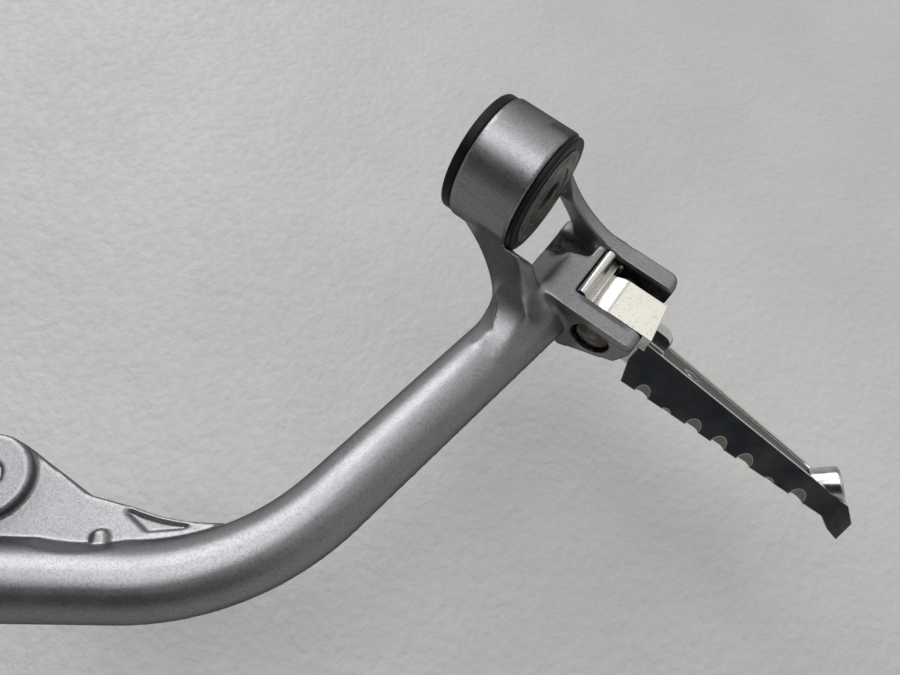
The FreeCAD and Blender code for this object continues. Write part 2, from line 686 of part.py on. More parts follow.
rings = [coil_ring(step) for step in range(coil_steps + 1)]
first, last = rings[0], rings[-1]
onward = Vector(-last[1].y, last[1].x, 0)
leg_up = first[0] - Vector(0, coil_radius + value("spring_leg_up"), 0)
leg_back = last[0] + onward * value("slot_back + spring_leg_set")
rings = [(leg_up, first[1])] + rings + [(leg_back, last[1])]
spring_shape = Part.makeLoft([wire_ring(*ring_place) for ring_place in rings], True, True)
spring = doc.addObject("Part::Feature", "return_spring")
spring.Shape = spring_shape
lay_down = FreeCAD.Rotation(Vector(1, 0, 0), 90).multiply(FreeCAD.Rotation(Vector(0, 0, 1), 180))
spring.Placement = FreeCAD.Placement(
    Vector(value("pivot_x"), value("pivot_y") + value("spring_far"), value("pivot_z")), lay_down)

# Footpeg beam: a tapered plan crossed with a side profile, in the peg's turned frame
slope = "(peg_under_tip - peg_under_root) / (peg_under_end - peg_root)"
taper = "(peg_root_half - peg_tip_half) / (peg_tip - peg_root)"


def inset(start, end, edge):
    """Corners of the plan between two stations, drawn in by an edge width."""
    corners = []
    for sign, stations in (("-", (start, end)), ("+", (end, start))):
        for station in stations:
            half = "(peg_root_half - (%s - peg_root) * %s - (%s))" % (station, taper, edge)
            corners.append((station, "peg_middle %s %s" % (sign, half)))
    return corners


def under_level(station):
    """Level of the sloping underside at a station."""
    return "peg_under_root + (%s - peg_root) * %s" % (station, slope)


peg_plan = peg_body("peg_plan")
peg_plan_face = new_sketch(peg_plan, "XY_Plane", "peg_plan_face", "peg_tread - reach")
outline(peg_plan_face, inset("(peg_root - root_bulge)", "peg_tip", "0"))
pad(peg_plan, peg_plan_face, "reach - peg_tread")
peg_side = peg_body("peg_side")
peg_side_face = new_sketch(peg_side, "XZ_Plane", "peg_side_face")
outline(peg_side_face, [
    ("peg_root - root_top", "peg_under_root"),
    ("peg_root - root_bulge", "(peg_under_root + peg_tread) / 2"),
    ("peg_root + root_low", "peg_tread"),
    ("lip_start", "peg_tread"),
    ("peg_under_end", "peg_tread - peg_lip * 0.65"),
    ("peg_tip", "peg_tread - peg_lip"),
    ("peg_tip", "peg_under_tip - tip_drop"),
    ("peg_under_end", "peg_under_tip"),
])
pad(peg_side, peg_side_face, "2 * reach", middle=True)
peg_block = joined("Part::MultiCommon", "peg_block", [peg_plan, peg_side])

# Hollow on the tread side between the walls
tray_plan = peg_body("tray_plan")
tray_plan_face = new_sketch(tray_plan, "XY_Plane", "tray_plan_face", "peg_tread - reach")
outline(tray_plan_face, inset("tray_start", "tray_end", "peg_wall"))
pad(tray_plan, tray_plan_face, "reach - peg_tread")
tray_side = peg_body("tray_side")
tray_side_face = new_sketch(tray_side, "XZ_Plane", "tray_side_face")
outline(tray_side_face, [
    ("peg_root", "peg_tread - reach"),
    ("peg_tip", "peg_tread - reach"),
    ("peg_tip", under_level("peg_tip") + " - peg_floor"),
    ("peg_root", under_level("peg_root") + " - peg_floor"),
])
pad(tray_side, tray_side_face, "2 * reach", middle=True)
tray = joined("Part::MultiCommon", "tray", [tray_plan, tray_side])

# Shallow channel between the two rims of the underside
groove_plan = peg_body("groove_plan")
groove_plan_face = new_sketch(groove_plan, "XY_Plane", "groove_plan_face", "peg_tread - reach")
outline(groove_plan_face, inset("groove_start", "groove_end", "rim_wide"))
pad(groove_plan, groove_plan_face, "2 * reach")
groove_side = peg_body("groove_side")
groove_side_face = new_sketch(groove_side, "XZ_Plane", "groove_side_face")
outline(groove_side_face, [
    ("peg_root", "reach"),
    ("peg_root", under_level("peg_root") + " - rim_high"),
    ("peg_tip", under_level("peg_tip") + " - rim_high"),
    ("peg_tip", "reach"),
])
pad(groove_side, groove_side_face, "2 * reach", middle=True)
groove = joined("Part::MultiCommon", "groove", [groove_plan, groove_side])
mark = peg_body("mark")
mark_level = under_level("mark_x") + " - rim_high - mark_deep"
mark_face = new_sketch(mark, "XY_Plane", "mark_face", mark_level)
ring(mark_face, "mark_x", "peg_middle", "mark_radius", "mark_radius * 0.72")
pad(mark, mark_face, "4 * mark_deep")

# Notches along the tread edge of one wall, rising outward, and their mirror for the other wall
notches = doc.addObject("PartDesign::Body", "notches")
notches.AllowCompound = True
wall_angle = math.degrees(math.atan(value(taper)))
notch_shift = FreeCAD.Placement(
    Vector(value("peg_root"), value("peg_middle - peg_root_half"), value("peg_tread")),
    FreeCAD.Rotation(Vector(0, 0, 1), wall_angle))
notch_tilt = FreeCAD.Placement(Vector(), FreeCAD.Rotation(Vector(1, 0, 0), -value("notch_tilt")))
peg_frame = FreeCAD.Placement(
    Vector(value("pivot_x"), value("pivot_y"), value("pivot_z")),
    FreeCAD.Rotation(Vector(-1, 0, 0), value("peg_turn")))
notches.Placement = peg_frame.multiply(notch_shift).multiply(notch_tilt)
for number in range(7):
    deep = "notch_shallow" if number in (1, 5) else "notch_deep"
    middle = "notch_first - peg_root + %d * notch_pitch" % number
    notch = new_sketch(notches, "XZ_Plane", "notch_%d" % number)
    outline(notch, [
        (middle + " - notch_radius", "-reach"),
        (middle + " + notch_radius", "-reach"),
        (middle + " + notch_radius", "max(%s - notch_radius; -notch_radius)" % deep),
        (middle, deep),
        (middle + " - notch_radius", "max(%s - notch_radius; -notch_radius)" % deep),
    ], {2: "-notch_radius * 1.001", 3: "-notch_radius * 1.001"})
    pad(notches, notch, "notch_run", middle=True)
across = peg_frame.Rotation.multVec(Vector(0, 1, 0))
notches_far = doc.addObject("Part::Mirroring", "notches_far")
notches_far.Source = notches
notches_far.Normal = across
notches_far.Base = peg_frame.Base + across * value("peg_middle")
doc.recompute()

# Lean feeler: a turned nub let into the underside near the tip
feeler = doc.addObject("PartDesign::Body", "lean_feeler")
feeler_seat = FreeCAD.Placement(
    Vector(value("feeler_x"), value("peg_middle"), value("feeler_n")),
    FreeCAD.Rotation(Vector(0, 1, 0), value("feeler_lean")))
feeler.Placement = peg_frame.multiply(feeler_seat)
feeler_side = new_sketch(feeler, "XZ_Plane", "feeler_side")
outline(feeler_side, [
    ("0", "-feeler_set"),
    ("feeler_spigot", "-feeler_set"),
    ("feeler_spigot", "-feeler_seat"),
    ("feeler_radius", "-feeler_seat"),
    ("feeler_radius", "feeler_high - feeler_edge"),
    ("feeler_radius - feeler_edge", "feeler_high"),
    ("0", "feeler_high"),
])
turned(feeler, feeler_side, "V_Axis")

# Tang: fills the slot, with the stop bead at its tail and room for the spring on its far side
tang = new_body("tang")
tang_side = new_sketch(tang, "XZ_Plane", "tang_side", "tang_near")
outline(tang_side, [
    ("bead_x - bead_radius", "bead_z"),
    ("bead_x + bead_radius", "bead_z"),
    ("bead_x + 1.2 * bead_radius", "bead_z - 0.6 * trough_deep"),
    ("trough_x", "bead_z - trough_deep"),
    ("tang_flat_start", "tang_top"),
    ("tang_flat_end", "tang_top"),
    ("tang_flat_end", "-tang_throat"),
    ("tang_foot", "-tang_shoulder"),
    ("tang_foot", "-tang_under"),
    ("heel_end", "-sqrt(tang_heel ^ 2 - heel_end ^ 2)"),
    ("-tang_heel", "0"),
    ("bead_x - bead_radius", "bead_tail"),
], {0: "bead_radius * 1.001", 3: "tang_ramp", 9: "tang_heel"})
tang_block = pad(tang, tang_side, "2 * tang_near", backward=True)
tang_relief = new_sketch(tang, "XZ_Plane", "tang_relief", "-tang_near")
tail_face = "-spring_radius - spring_wire - spring_room"
tail_low = "spring_radius + spring_wire + 2 * spring_room"
outline(tang_relief, [("-reach", tail_low), (tail_face, tail_low), (tail_face, "reach"),
                      ("reach", "reach"), ("reach", "-reach"), ("-reach", "-reach")])
pocket(tang, tang_relief, "tang_near - tang_far", backward=True)
tang_end = new_sketch(tang, "XY_Plane", "tang_end", "0")
outline(tang_end, [("tang_flat_end", "-1.1 * tang_near"), ("1.1 * tang_flat_end", "tang_near"),
                   ("tang_flat_end - tang_skew", "tang_far")])
pocket(tang, tang_end, "2 * tang_top", backward=True)
tang_hole = new_sketch(tang, "XZ_Plane", "tang_hole", "0")
ring(tang_hole, "0", "0", "pin_radius + pin_play")
pocket(tang, tang_hole, "2 * reach", middle=True)

# Rounded lug where the far wall rises beside the tang
lug = peg_body("lug")
lug_side = new_sketch(lug, "XZ_Plane", "lug_side", "lug_set - peg_middle - peg_root_half")
outline(lug_side, [
    ("lug_start", "peg_under_root - peg_floor"),
    ("lug_end", "peg_under_root - peg_floor"),
    ("lug_end", "lug_high - 1.3 * lug_round"),
    ("lug_flat", "lug_high"),
    ("lug_start", "1.2 * lug_high"),
], {2: "-lug_round * 1.4"})
pad(lug, lug_side, "lug_long")

peg_solid = joined("Part::MultiFuse", "peg_solid", [peg_block, tang, lug])
peg_cuts = joined("Part::MultiFuse", "peg_cuts", [tray, groove, mark, notches, notches_far, feeler])
footpeg = cut_away("footpeg", peg_solid, peg_cuts)

nodes = {
    "hanger": hanger,
    "bush_rubber": rubber,
    "bush_collar": collar,
    "pivot_pin": pin,
    "pin_washer": washer,
    "pin_clip": clip,
    "return_spring": spring,
    "footpeg": footpeg,
    "lean_feeler": feeler,
}
doc.recompute()
for item in doc.Objects:
    if "Invalid" in item.State or "Error" in item.State:
        raise SystemExit("%s failed: %s" % (item.Name, item.State))
os.makedirs("parts", exist_ok=True)
for name, item in nodes.items():
    item.Label = name
    if item.Shape.isNull() or not item.Shape.isValid() or len(item.Shape.Solids) != 1:
        raise SystemExit("%s is not one sound solid: %d" % (name, len(item.Shape.Solids)))
    print(name, round(item.Shape.Volume), item.Shape.BoundBox)
    item.Shape.exportStep("parts/%s.step" % name)
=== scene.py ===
"""Folding footpeg on its cast hanger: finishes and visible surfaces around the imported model."""

import json

import bmesh
import bpy
import numpy as np
from mathutils import Matrix, Vector


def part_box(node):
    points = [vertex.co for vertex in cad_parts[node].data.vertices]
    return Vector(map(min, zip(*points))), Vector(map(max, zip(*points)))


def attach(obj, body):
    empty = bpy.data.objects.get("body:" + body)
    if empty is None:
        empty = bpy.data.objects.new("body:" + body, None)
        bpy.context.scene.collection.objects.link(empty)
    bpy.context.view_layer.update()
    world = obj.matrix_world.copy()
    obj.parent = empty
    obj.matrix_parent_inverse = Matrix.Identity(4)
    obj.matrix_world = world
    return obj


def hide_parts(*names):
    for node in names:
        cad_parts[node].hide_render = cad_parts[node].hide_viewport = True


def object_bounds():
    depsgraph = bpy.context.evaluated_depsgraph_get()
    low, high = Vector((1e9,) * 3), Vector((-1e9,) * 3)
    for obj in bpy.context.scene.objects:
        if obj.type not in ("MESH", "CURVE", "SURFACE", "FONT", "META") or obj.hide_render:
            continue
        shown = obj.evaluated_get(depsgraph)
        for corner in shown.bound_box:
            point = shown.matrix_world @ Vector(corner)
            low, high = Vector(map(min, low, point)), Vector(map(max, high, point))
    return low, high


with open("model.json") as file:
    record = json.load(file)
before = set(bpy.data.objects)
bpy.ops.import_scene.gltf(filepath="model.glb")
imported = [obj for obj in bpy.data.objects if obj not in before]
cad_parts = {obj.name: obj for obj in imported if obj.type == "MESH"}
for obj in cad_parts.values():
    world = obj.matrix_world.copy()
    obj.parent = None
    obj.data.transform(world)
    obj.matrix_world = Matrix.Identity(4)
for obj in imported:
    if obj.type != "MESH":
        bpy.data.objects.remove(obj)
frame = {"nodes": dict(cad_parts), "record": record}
CAD_LOW, CAD_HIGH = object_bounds()

bl_info = {
    "name": "Folding footpeg",
    "version": (1, 0, 0),
    "blender": (4, 5, 0),
    "location": "View3D > Sidebar > Footpeg",
    "description": "Builds the visible surfaces and finishes of a folding footpeg and its hanger",
    "category": "Object",
}

MM = 0.001
HANGER_BODY = "hanger_body"
PEG_BODY = "peg_body"
PIVOT = np.array(frame["record"]["behaviour"]["joints"][0]["pos_m"], float)


def from_pivot(points):
    """X, Y and Z of places in metres, each as one array in millimetres from the pivot."""
    return ((points - PIVOT) / MM).T


def node_box(node):
    """Lowest and highest corner of a node from the pivot, in millimetres."""
    return [from_pivot(np.array(corner, float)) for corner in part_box(node)]


BUSH_LOW, BUSH_HIGH = node_box("bush_rubber")
BUSH_MIDDLE = (BUSH_LOW + BUSH_HIGH) / 2
MOUNTS = {mount["name"]: mount["dims"] for mount in frame["record"]["mounts"]}
BUSH_BORE, BOLTS = MOUNTS["bush_bore"], MOUNTS["frame_bolts"]
BOLT_HOLE = -PIVOT / MM - np.array((0.0, BOLTS["spacing_y_mm"] / 2, 0.0))
PIN_LOW, PIN_HIGH = node_box("pivot_pin")

# Points closer than this are one point, in metres: of a CAD node, and of a mesh made here
MERGE_NODE, MERGE_GRID = 1e-6, 1e-7

# The peg in its own turned frame, in millimetres from the pivot: its root, half width there, taper and
# middle across; level of its underside with the rims at the root, that side's slope, and level of the
# tread on the other side; start and end of the channel, width of the rims and end of the tread; place of
# the feeler, and its lean in radians
PEG_ROOT, PEG_HALF, PEG_TAPER, PEG_MIDDLE = 17.0, 11.2, 0.0661, 1.7
PEG_UNDER, PEG_SLOPE, PEG_TREAD = -2.5, -0.0994, -19.0
CHANNEL_START, CHANNEL_END, RIM_WIDE, TREAD_END = 24.0, 97.0, 1.5, 104.0
FEELER_PLACE = (92.5, 1.7, -11.8)
FEELER_LEAN = np.radians(43.7)
DIAGONAL = np.sqrt(0.5)

# Faces of the hanger that the sweep joins, in millimetres from the pivot: the leg's near face and the
# arm's crown; where the sweep sets in at each, in millimetres; and where it ends, as a share of its reach
LEG_FACE, ARM_CROWN = -24.5, 7.5
FACE_TOUCH, CROWN_TOUCH, SWEEP_END = (-0.8, -0.1), (-1.8, -0.2), (0.0, 0.02)

# Regions of the hanger in millimetres from the pivot: along X, Y and Z the start, the end and the soft edge
FAR = 1000.0
ANY = (-FAR, FAR, 1.0)
SWEEP_SPAN = (-33.0, -21.5, 6.0)
JOINS = ((-FAR, -17.0, 3.5), (-48.0, FAR, 14.0), (-FAR, 20.0, 12.0))
RAMP = ((-31.0, -22.0, 3.0), (-15.0, -1.0, 3.0), (5.0, FAR, 3.0))
ARM_END = ((BOLT_HOLE[0] + 5.0, BOLT_HOLE[0] + 19.0, 3.0),
           (BOLT_HOLE[1] - 11.0, BOLT_HOLE[1] + 13.0, 3.0), ANY)
# The slot, the low step, the near faces and the pin's counterbore below are darkened as painted shade; the
# ear's inner rim and the smear are old grease
SLOT_SHADE = ((-13.7, 16.0, 0.4), (-11.1, 11.1, 0.5), (-FAR, 8.6, 2.0))
STEP_SHADE = ((-33.0, -16.9, 1.5), (2.5, 11.2, 2.5), (-FAR, 4.0, 5.5))
GREASY_RIM = ((-8.0, 6.0, 5.0), (-12.6, -10.6, 0.6), (9.5, 12.0, 0.5))
NEAR_FACE_SHADE = ((-47.0, -4.0, 3.0), (-34.0, -12.0, 6.0), ANY)
COUNTERBORE_SHADE = (ANY, (-19.0, -12.0, 0.4), ANY)
SMEAR = ((-45.0, -37.0, 2.5), ANY, ANY)
# Middle of the grease smear across Y and Z, and the height below which near-side faces get painted shade
SMEAR_Y, SMEAR_Z, NEAR_SHADE_TOP = 6.5, 54.0, 34.0

# Soft limits in millimetres: distances from the axes of bush and bolt hole from which corners are filled,
# reach of the painted shade in the counterbore and of the grease in the smear, depth of a hollow that gets
# painted shade and where along Y such hollows start; and how far a face with painted shade looks to the
# near side, as the normal's part
OFF_BORE, OFF_BOLT = (19.4, 20.4), (8.0, 10.0)
BORE_SHADE_REACH, SMEAR_REACH, HOLLOW_DEPTH, HOLLOW_START = (7.3, 7.7), (3.0, 7.5), (0.012, 0.05), (-60.0, -40.0)
NEAR_FACING = (0.55, 0.9)

# How the hanger's points move: share of the way to the neighbours' mean when evened and when filled, share
# that is taken back when evened, and share on outer edges when filled
EVEN_SHARE, FILL_SHARE, BACK_SHARE, OUTER_SHARE = 0.55, 0.7, 0.98, 0.08
EVEN_FIRST, EVEN_LAST, HOLLOW_ROUNDS = 4, 3, 6

# Bands of a noise texture's level: nearly all of it, its middle, and its low spots
WIDE_BAND, MIDDLE_BAND, SPOT_BAND = (0.3, 0.7), (0.35, 0.65), (0.34, 0.46)


class FootpegFinish(bpy.types.PropertyGroup):
    """Colours and surface sizes of the footpeg's finishes."""

    paint_colour: bpy.props.FloatVectorProperty(
        name="Paint", description="Silver paint of the hanger", subtype="COLOR", size=4,
        default=(0.30, 0.30, 0.312, 1.0), min=0.0, max=1.0)
    flake_size: bpy.props.FloatProperty(
        name="Flake size", description="Width of one metal flake in the paint", unit="LENGTH",
        default=0.00042, min=0.0001, max=0.005, precision=5)
    # This colour darkens both old grease and painted shade in the slot and the corners
    grease_and_shade_colour: bpy.props.FloatVectorProperty(
        name="Grime", description="Old grease in the slot and the corners", subtype="COLOR", size=4,
        default=(0.011, 0.0105, 0.010, 1.0), min=0.0, max=1.0)
    rubber_colour: bpy.props.FloatVectorProperty(
        name="Rubber", description="Rubber of the bush", subtype="COLOR", size=4,
        default=(0.004, 0.004, 0.0044, 1.0), min=0.0, max=1.0)
    peg_colour: bpy.props.FloatVectorProperty(
        name="Peg", description="Bare aluminium of the peg", subtype="COLOR", size=4,
        default=(0.62, 0.615, 0.60, 1.0), min=0.0, max=1.0)
    tread_colour: bpy.props.FloatVectorProperty(
        name="Tread", description="Dull cut faces of the notches and the tread", subtype="COLOR", size=4,
        default=(0.20, 0.182, 0.165, 1.0), min=0.0, max=1.0)
    tang_colour: bpy.props.FloatVectorProperty(
        name="Tang", description="Milled face of the tang", subtype="COLOR", size=4,
        default=(0.88, 0.855, 0.785, 1.0), min=0.0, max=1.0)


class FootpegSizes(bpy.types.PropertyGroup):
    """Sizes of the pieces' surfaces."""

    cast_grain: bpy.props.FloatProperty(
        name="Hanger grain", description="Spacing of the hanger's surface points", unit="LENGTH",
        default=0.00066, min=0.0003, max=0.003, precision=5)
    join_rounds: bpy.props.IntProperty(
        name="Join rounds", description="How long the inner corners of the casting are filled", default=60,
        min=0, max=300)
    sweep_run: bpy.props.FloatProperty(
        name="Sweep run", description="How far the leg's near face runs out along the arm", unit="LENGTH",
        default=0.023, min=0.009, max=0.03, precision=4)
    sweep_rise: bpy.props.FloatProperty(
        name="Sweep rise", description="How far up the leg the sweep starts", unit="LENGTH",
        default=0.015, min=0.007, max=0.02, precision=4)
    edge_width: bpy.props.FloatProperty(
        name="Peg edge", description="Width of the eased edges of the peg", unit="LENGTH",
        default=0.00028, min=0.0001, max=0.001, precision=5)
    rubber_round: bpy.props.FloatProperty(
        name="Rubber edge", description="Rounding of the rubber flanges", unit="LENGTH",
        default=0.0008, min=0.0, max=0.002, precision=5)
    steel_round: bpy.props.FloatProperty(
        name="Steel edge", description="Rounding of the turned steel pieces", unit="LENGTH",
        default=0.00035, min=0.0, max=0.002, precision=5)
    wire_radius: bpy.props.FloatProperty(
        name="Spring wire", description="Radius of the spring's wire", unit="LENGTH", default=0.0007,
        min=0.0003, max=0.001, precision=5)
    coil_radius: bpy.props.FloatProperty(
        name="Spring coil", description="Radius of the coil at the middle of the wire", unit="LENGTH",
        default=0.0054, min=0.0045, max=0.006, precision=5)
    coil_pitch: bpy.props.FloatProperty(
        name="Spring pitch", description="Climb of the coil in one turn", unit="LENGTH", default=0.0017,
        min=0.001, max=0.002, precision=5)


class FootpegStage(bpy.types.PropertyGroup):
    """Floor, light and camera."""

    floor_colour: bpy.props.FloatVectorProperty(
        name="Floor", description="Pale foam floor", subtype="COLOR", size=4,
        default=(0.54, 0.543, 0.53, 1.0), min=0.0, max=1.0)
    lens: bpy.props.FloatProperty(
        name="Lens", description="Focal length of the camera in millimetres", default=27.04, min=10.0,
        max=200.0)
    side_level: bpy.props.FloatProperty(
        name="Side lamp", description="Strength of the broad lamp at the upper left", default=1.4, min=0.0,
        max=20.0)
    side_width: bpy.props.FloatProperty(
        name="Side width", description="Angle that the broad lamp covers", subtype="ANGLE", default=0.72,
        min=0.0, max=3.0)
    top_level: bpy.props.FloatProperty(
        name="Top lamp", description="Strength of the smaller lamp overhead", default=0.72, min=0.0,
        max=20.0)
    top_width: bpy.props.FloatProperty(
        name="Top width", description="Angle that the lamp overhead covers", subtype="ANGLE", default=0.56,
        min=0.0, max=3.0)
    sky_level: bpy.props.FloatProperty(
        name="Sky level", description="Strength of the light all round", default=1.0, min=0.0, max=3.0)


class Finish:
    """A new material with helpers that add linked nodes."""

    def __init__(self, name):
        self.material = bpy.data.materials.new(name)
        self.material.use_nodes = True
        self.tree = self.material.node_tree
        self.shader = self.tree.nodes["Principled BSDF"]
        self.place = self.add("ShaderNodeTexCoord").outputs["Object"]

    def add(self, kind, **settings):
        """A new node of a kind with its settings."""
        node = self.tree.nodes.new(kind)
        for key, value in settings.items():
            setattr(node, key, value)
        return node

    def feed(self, node, values):
        """Link or set a node's inputs."""
        for socket, value in values.items():
            if isinstance(value, bpy.types.NodeSocket):
                self.tree.links.new(value, node.inputs[socket])
            else:
                node.inputs[socket].default_value = value
        return node

    def noise(self, scale, detail=3.0, rough=0.55):
        """A cloudy level; scale is the number of clouds in a metre."""
        node = self.add("ShaderNodeTexNoise")
        self.feed(node, {"Vector": self.place, "Scale": scale, "Detail": detail, "Roughness": rough})
        return node.outputs["Fac"]

    def flakes(self, size):
        """One random level for each cell of a given width."""
        cells = self.feed(self.add("ShaderNodeTexVoronoi"), {"Vector": self.place, "Scale": 1.0 / size})
        split = self.feed(self.add("ShaderNodeSeparateColor"), {0: cells.outputs["Color"]})
        return split.outputs[0]

    def mask(self, name):
        """A level stored on the piece's own points or faces."""
        return self.add("ShaderNodeAttribute", attribute_name=name).outputs["Fac"]

    def level(self, factor, low, high, start=0.0, end=1.0):
        """A factor between start and end carried to a level between low and high."""
        node = self.feed(self.add("ShaderNodeMapRange"), {0: factor, 1: start, 2: end, 3: low, 4: high})
        return node.outputs[0]

    def maths(self, kind, one, two, clamp=False):
        """One operation on two levels."""
        node = self.feed(self.add("ShaderNodeMath", operation=kind, use_clamp=clamp), {0: one, 1: two})
        return node.outputs[0]

    def vectors(self, kind, values, output="Vector"):
        """One operation on vectors."""
        return self.feed(self.add("ShaderNodeVectorMath", operation=kind), values).outputs[output]

    def mix(self, factor, one, two, blend="MIX"):
        """Two colours mixed by a factor."""
        node = self.add("ShaderNodeMix", data_type="RGBA", blend_type=blend)
        self.feed(node, {"Factor": factor, 6: one, 7: two})
        return node.outputs[2]

    def tint(self, factor, *stops):
        """A factor carried along a ramp of colours."""
        node = self.feed(self.add("ShaderNodeValToRGB"), {"Fac": factor})
        elements = node.color_ramp.elements
        while len(elements) < len(stops):
            elements.new(0.5)
        for element, (position, colour) in zip(elements, stops):
            element.position = position
            element.color = (*colour[:3], 1.0)
        return node.outputs["Color"]

    def bump(self, height, strength, distance, normal=None):
        """A fine relief, on top of another one where that is given."""
        node = self.add("ShaderNodeBump")
        self.feed(node, {"Strength": strength, "Distance": distance, "Height": height})
        if normal is not None:
            self.feed(node, {"Normal": normal})
        return node.outputs["Normal"]

    def radius(self, middle, axis):
        """Distance from a line through a point along X, Y or Z."""
        keep = [0.0 if letter == axis else 1.0 for letter in "XYZ"]
        offset = self.vectors("SUBTRACT", {0: self.place, 1: middle})
        return self.vectors("LENGTH", {0: self.vectors("MULTIPLY", {0: offset, 1: keep})}, "Value")

    def set(self, **sockets):
        """The finished material, with the shader's inputs linked or set."""
        names = {"colour": "Base Color", "rough": "Roughness", "metal": "Metallic", "normal": "Normal",
                 "specular": "Specular IOR Level", "edge": "Specular Tint"}
        self.feed(self.shader, {names[key]: value for key, value in sockets.items()})
        return self.material


def silver_paint(finish):
    """Metallic paint: fine flakes that differ in tilt and brightness, with old grease and painted shade
    from the stored mask.
    """
    made = Finish("silver_paint")
    flakes = made.flakes(finish.flake_size)
    cloud = made.noise(130.0, detail=4.0)
    tone = made.maths("MULTIPLY", made.level(flakes, 0.76, 1.24), made.level(cloud, 0.93, 1.07, *WIDE_BAND))
    grey = made.tint(tone, (0.0, (0.0, 0.0, 0.0)), (1.0, (1.0, 1.0, 1.0)))
    clean = made.mix(1.0, tuple(finish.paint_colour), grey, "MULTIPLY")
    blotch = made.level(made.noise(600.0, detail=3.0, rough=0.5), 0.85, 1.1, *WIDE_BAND)
    # The stored mask darkens the paint toward the grime colour: painted shade in the slot, step,
    # counterbore, hollows and near-side faces, and old grease on the ear's rim and the barrel
    grease_and_shade = made.maths("MULTIPLY", made.mask("grime"), blotch, clamp=True)
    colour = made.mix(grease_and_shade, clean, tuple(finish.grease_and_shade_colour))
    skin = made.bump(made.noise(700.0, detail=2.0), strength=0.06, distance=0.0002)
    glint = made.bump(flakes, strength=0.2, distance=0.0001, normal=skin)
    dull = made.maths("MULTIPLY", grease_and_shade, 0.25)
    rough = made.maths("ADD", made.level(cloud, 0.34, 0.40, *WIDE_BAND), dull)
    metal = made.level(grease_and_shade, 0.95, 0.3)
    return made.set(colour=colour, rough=rough, metal=metal, normal=glint, edge=(0.22, 0.22, 0.22, 1.0))


def black_rubber(finish):
    """Black rubber with a dusty bloom and a fine moulded grain."""
    made = Finish("black_rubber")
    dust = made.noise(240.0, detail=5.0)
    bloom = made.tint(dust, (0.4, tuple(finish.rubber_colour)), (0.8, (0.012, 0.012, 0.0115)))
    grain = made.bump(made.noise(1800.0, detail=3.0), strength=0.2, distance=0.0002)
    rough = made.level(dust, 0.42, 0.62, *WIDE_BAND)
    return made.set(colour=bloom, rough=rough, metal=0.0, normal=grain, specular=0.2)


def worn_steel(name, middle, axis):
    """Dull turned steel with rings about an axis and patches of brown grime."""
    made = Finish(name)
    turning = made.maths("MULTIPLY", made.radius(middle, axis), 9000.0)
    rings = made.maths("SINE", turning, 0.0)
    grime = made.noise(260.0, detail=4.0, rough=0.6)
    colour = made.tint(grime, (0.3, (0.085, 0.08, 0.073)), (0.55, (0.135, 0.129, 0.121)),
                       (0.75, (0.18, 0.175, 0.167)))
    uneven = made.bump(grime, strength=0.08, distance=0.0003)
    cut = made.bump(rings, strength=0.25, distance=0.0001, normal=uneven)
    return made.set(colour=colour, rough=made.level(grime, 0.62, 0.38, *MIDDLE_BAND), metal=0.9, normal=cut)


def pin_steel():
    """Brownish tarnished steel of the pin's head."""
    made = Finish("pin_steel")
    stain = made.noise(210.0, detail=3.0, rough=0.5)
    colour = made.tint(stain, (0.3, (0.06, 0.05, 0.04)), (0.55, (0.13, 0.112, 0.095)),
                       (0.75, (0.2, 0.18, 0.16)))
    uneven = made.bump(stain, strength=0.08, distance=0.0003)
    rough = made.level(stain, 0.55, 0.36, *MIDDLE_BAND)
    return made.set(colour=colour, rough=rough, metal=0.95, normal=uneven)


def spring_steel():
    """Grey drawn wire with a little grime."""
    made = Finish("spring_steel")
    grime = made.noise(700.0, detail=4.0)
    colour = made.tint(grime, (0.35, (0.05, 0.048, 0.045)), (0.65, (0.3, 0.29, 0.28)))
    return made.set(colour=colour, rough=made.level(grime, 0.5, 0.32, *MIDDLE_BAND), metal=0.95)


def bare_aluminium(finish):
    """Bare aluminium: polished walls and rims, a dull cast channel, dull cut notches and a speckled milled
    tang."""
    made = Finish("bare_aluminium")
    pits = made.noise(1500.0, detail=4.0, rough=0.6)
    cloud = made.noise(110.0, detail=4.0)
    specks = made.noise(1800.0, detail=3.0, rough=0.6)
    tread, channel, tang = made.mask("tread"), made.mask("channel"), made.mask("tang")
    smooth = made.level(pits, 0.0, 1.0, *SPOT_BAND)
    wall = made.mix(smooth, (0.4, 0.38, 0.355, 1.0), tuple(finish.peg_colour))
    cast = made.tint(pits, (0.35, (0.1, 0.097, 0.092)), (0.65, (0.165, 0.16, 0.154)))
    worn = made.level(pits, 0.0, 1.0, *MIDDLE_BAND)
    cut = made.mix(worn, tuple(finish.tread_colour), (0.28, 0.26, 0.24, 1.0))
    speckled = made.level(specks, 0.42, 0.0, *SPOT_BAND)
    milled = made.mix(speckled, tuple(finish.tang_colour), (0.34, 0.31, 0.26, 1.0))
    colour = made.mix(tang, made.mix(tread, made.mix(channel, wall, cast), cut), milled)
    rough = made.level(cloud, 0.13, 0.22, *WIDE_BAND)
    for part, extra in ((channel, 0.32), (tread, 0.34), (tang, 0.3)):
        rough = made.maths("ADD", rough, made.maths("MULTIPLY", part, extra))
    pitted = made.bump(pits, strength=0.1, distance=0.0002)
    return made.set(colour=colour, rough=rough, metal=1.0, normal=pitted)


def turned_steel():
    """Bright turned steel of the feeler."""
    made = Finish("turned_steel")
    smear = made.noise(300.0, detail=4.0)
    colour = made.tint(smear, (0.3, (0.46, 0.445, 0.43)), (0.7, (0.66, 0.65, 0.64)))
    return made.set(colour=colour, rough=made.level(smear, 0.16, 0.27, *WIDE_BAND), metal=1.0)


def dress(node, material):
    """Give a CAD node its finish."""
    slots = frame["nodes"][node].data.materials
    slots.clear()
    slots.append(material)


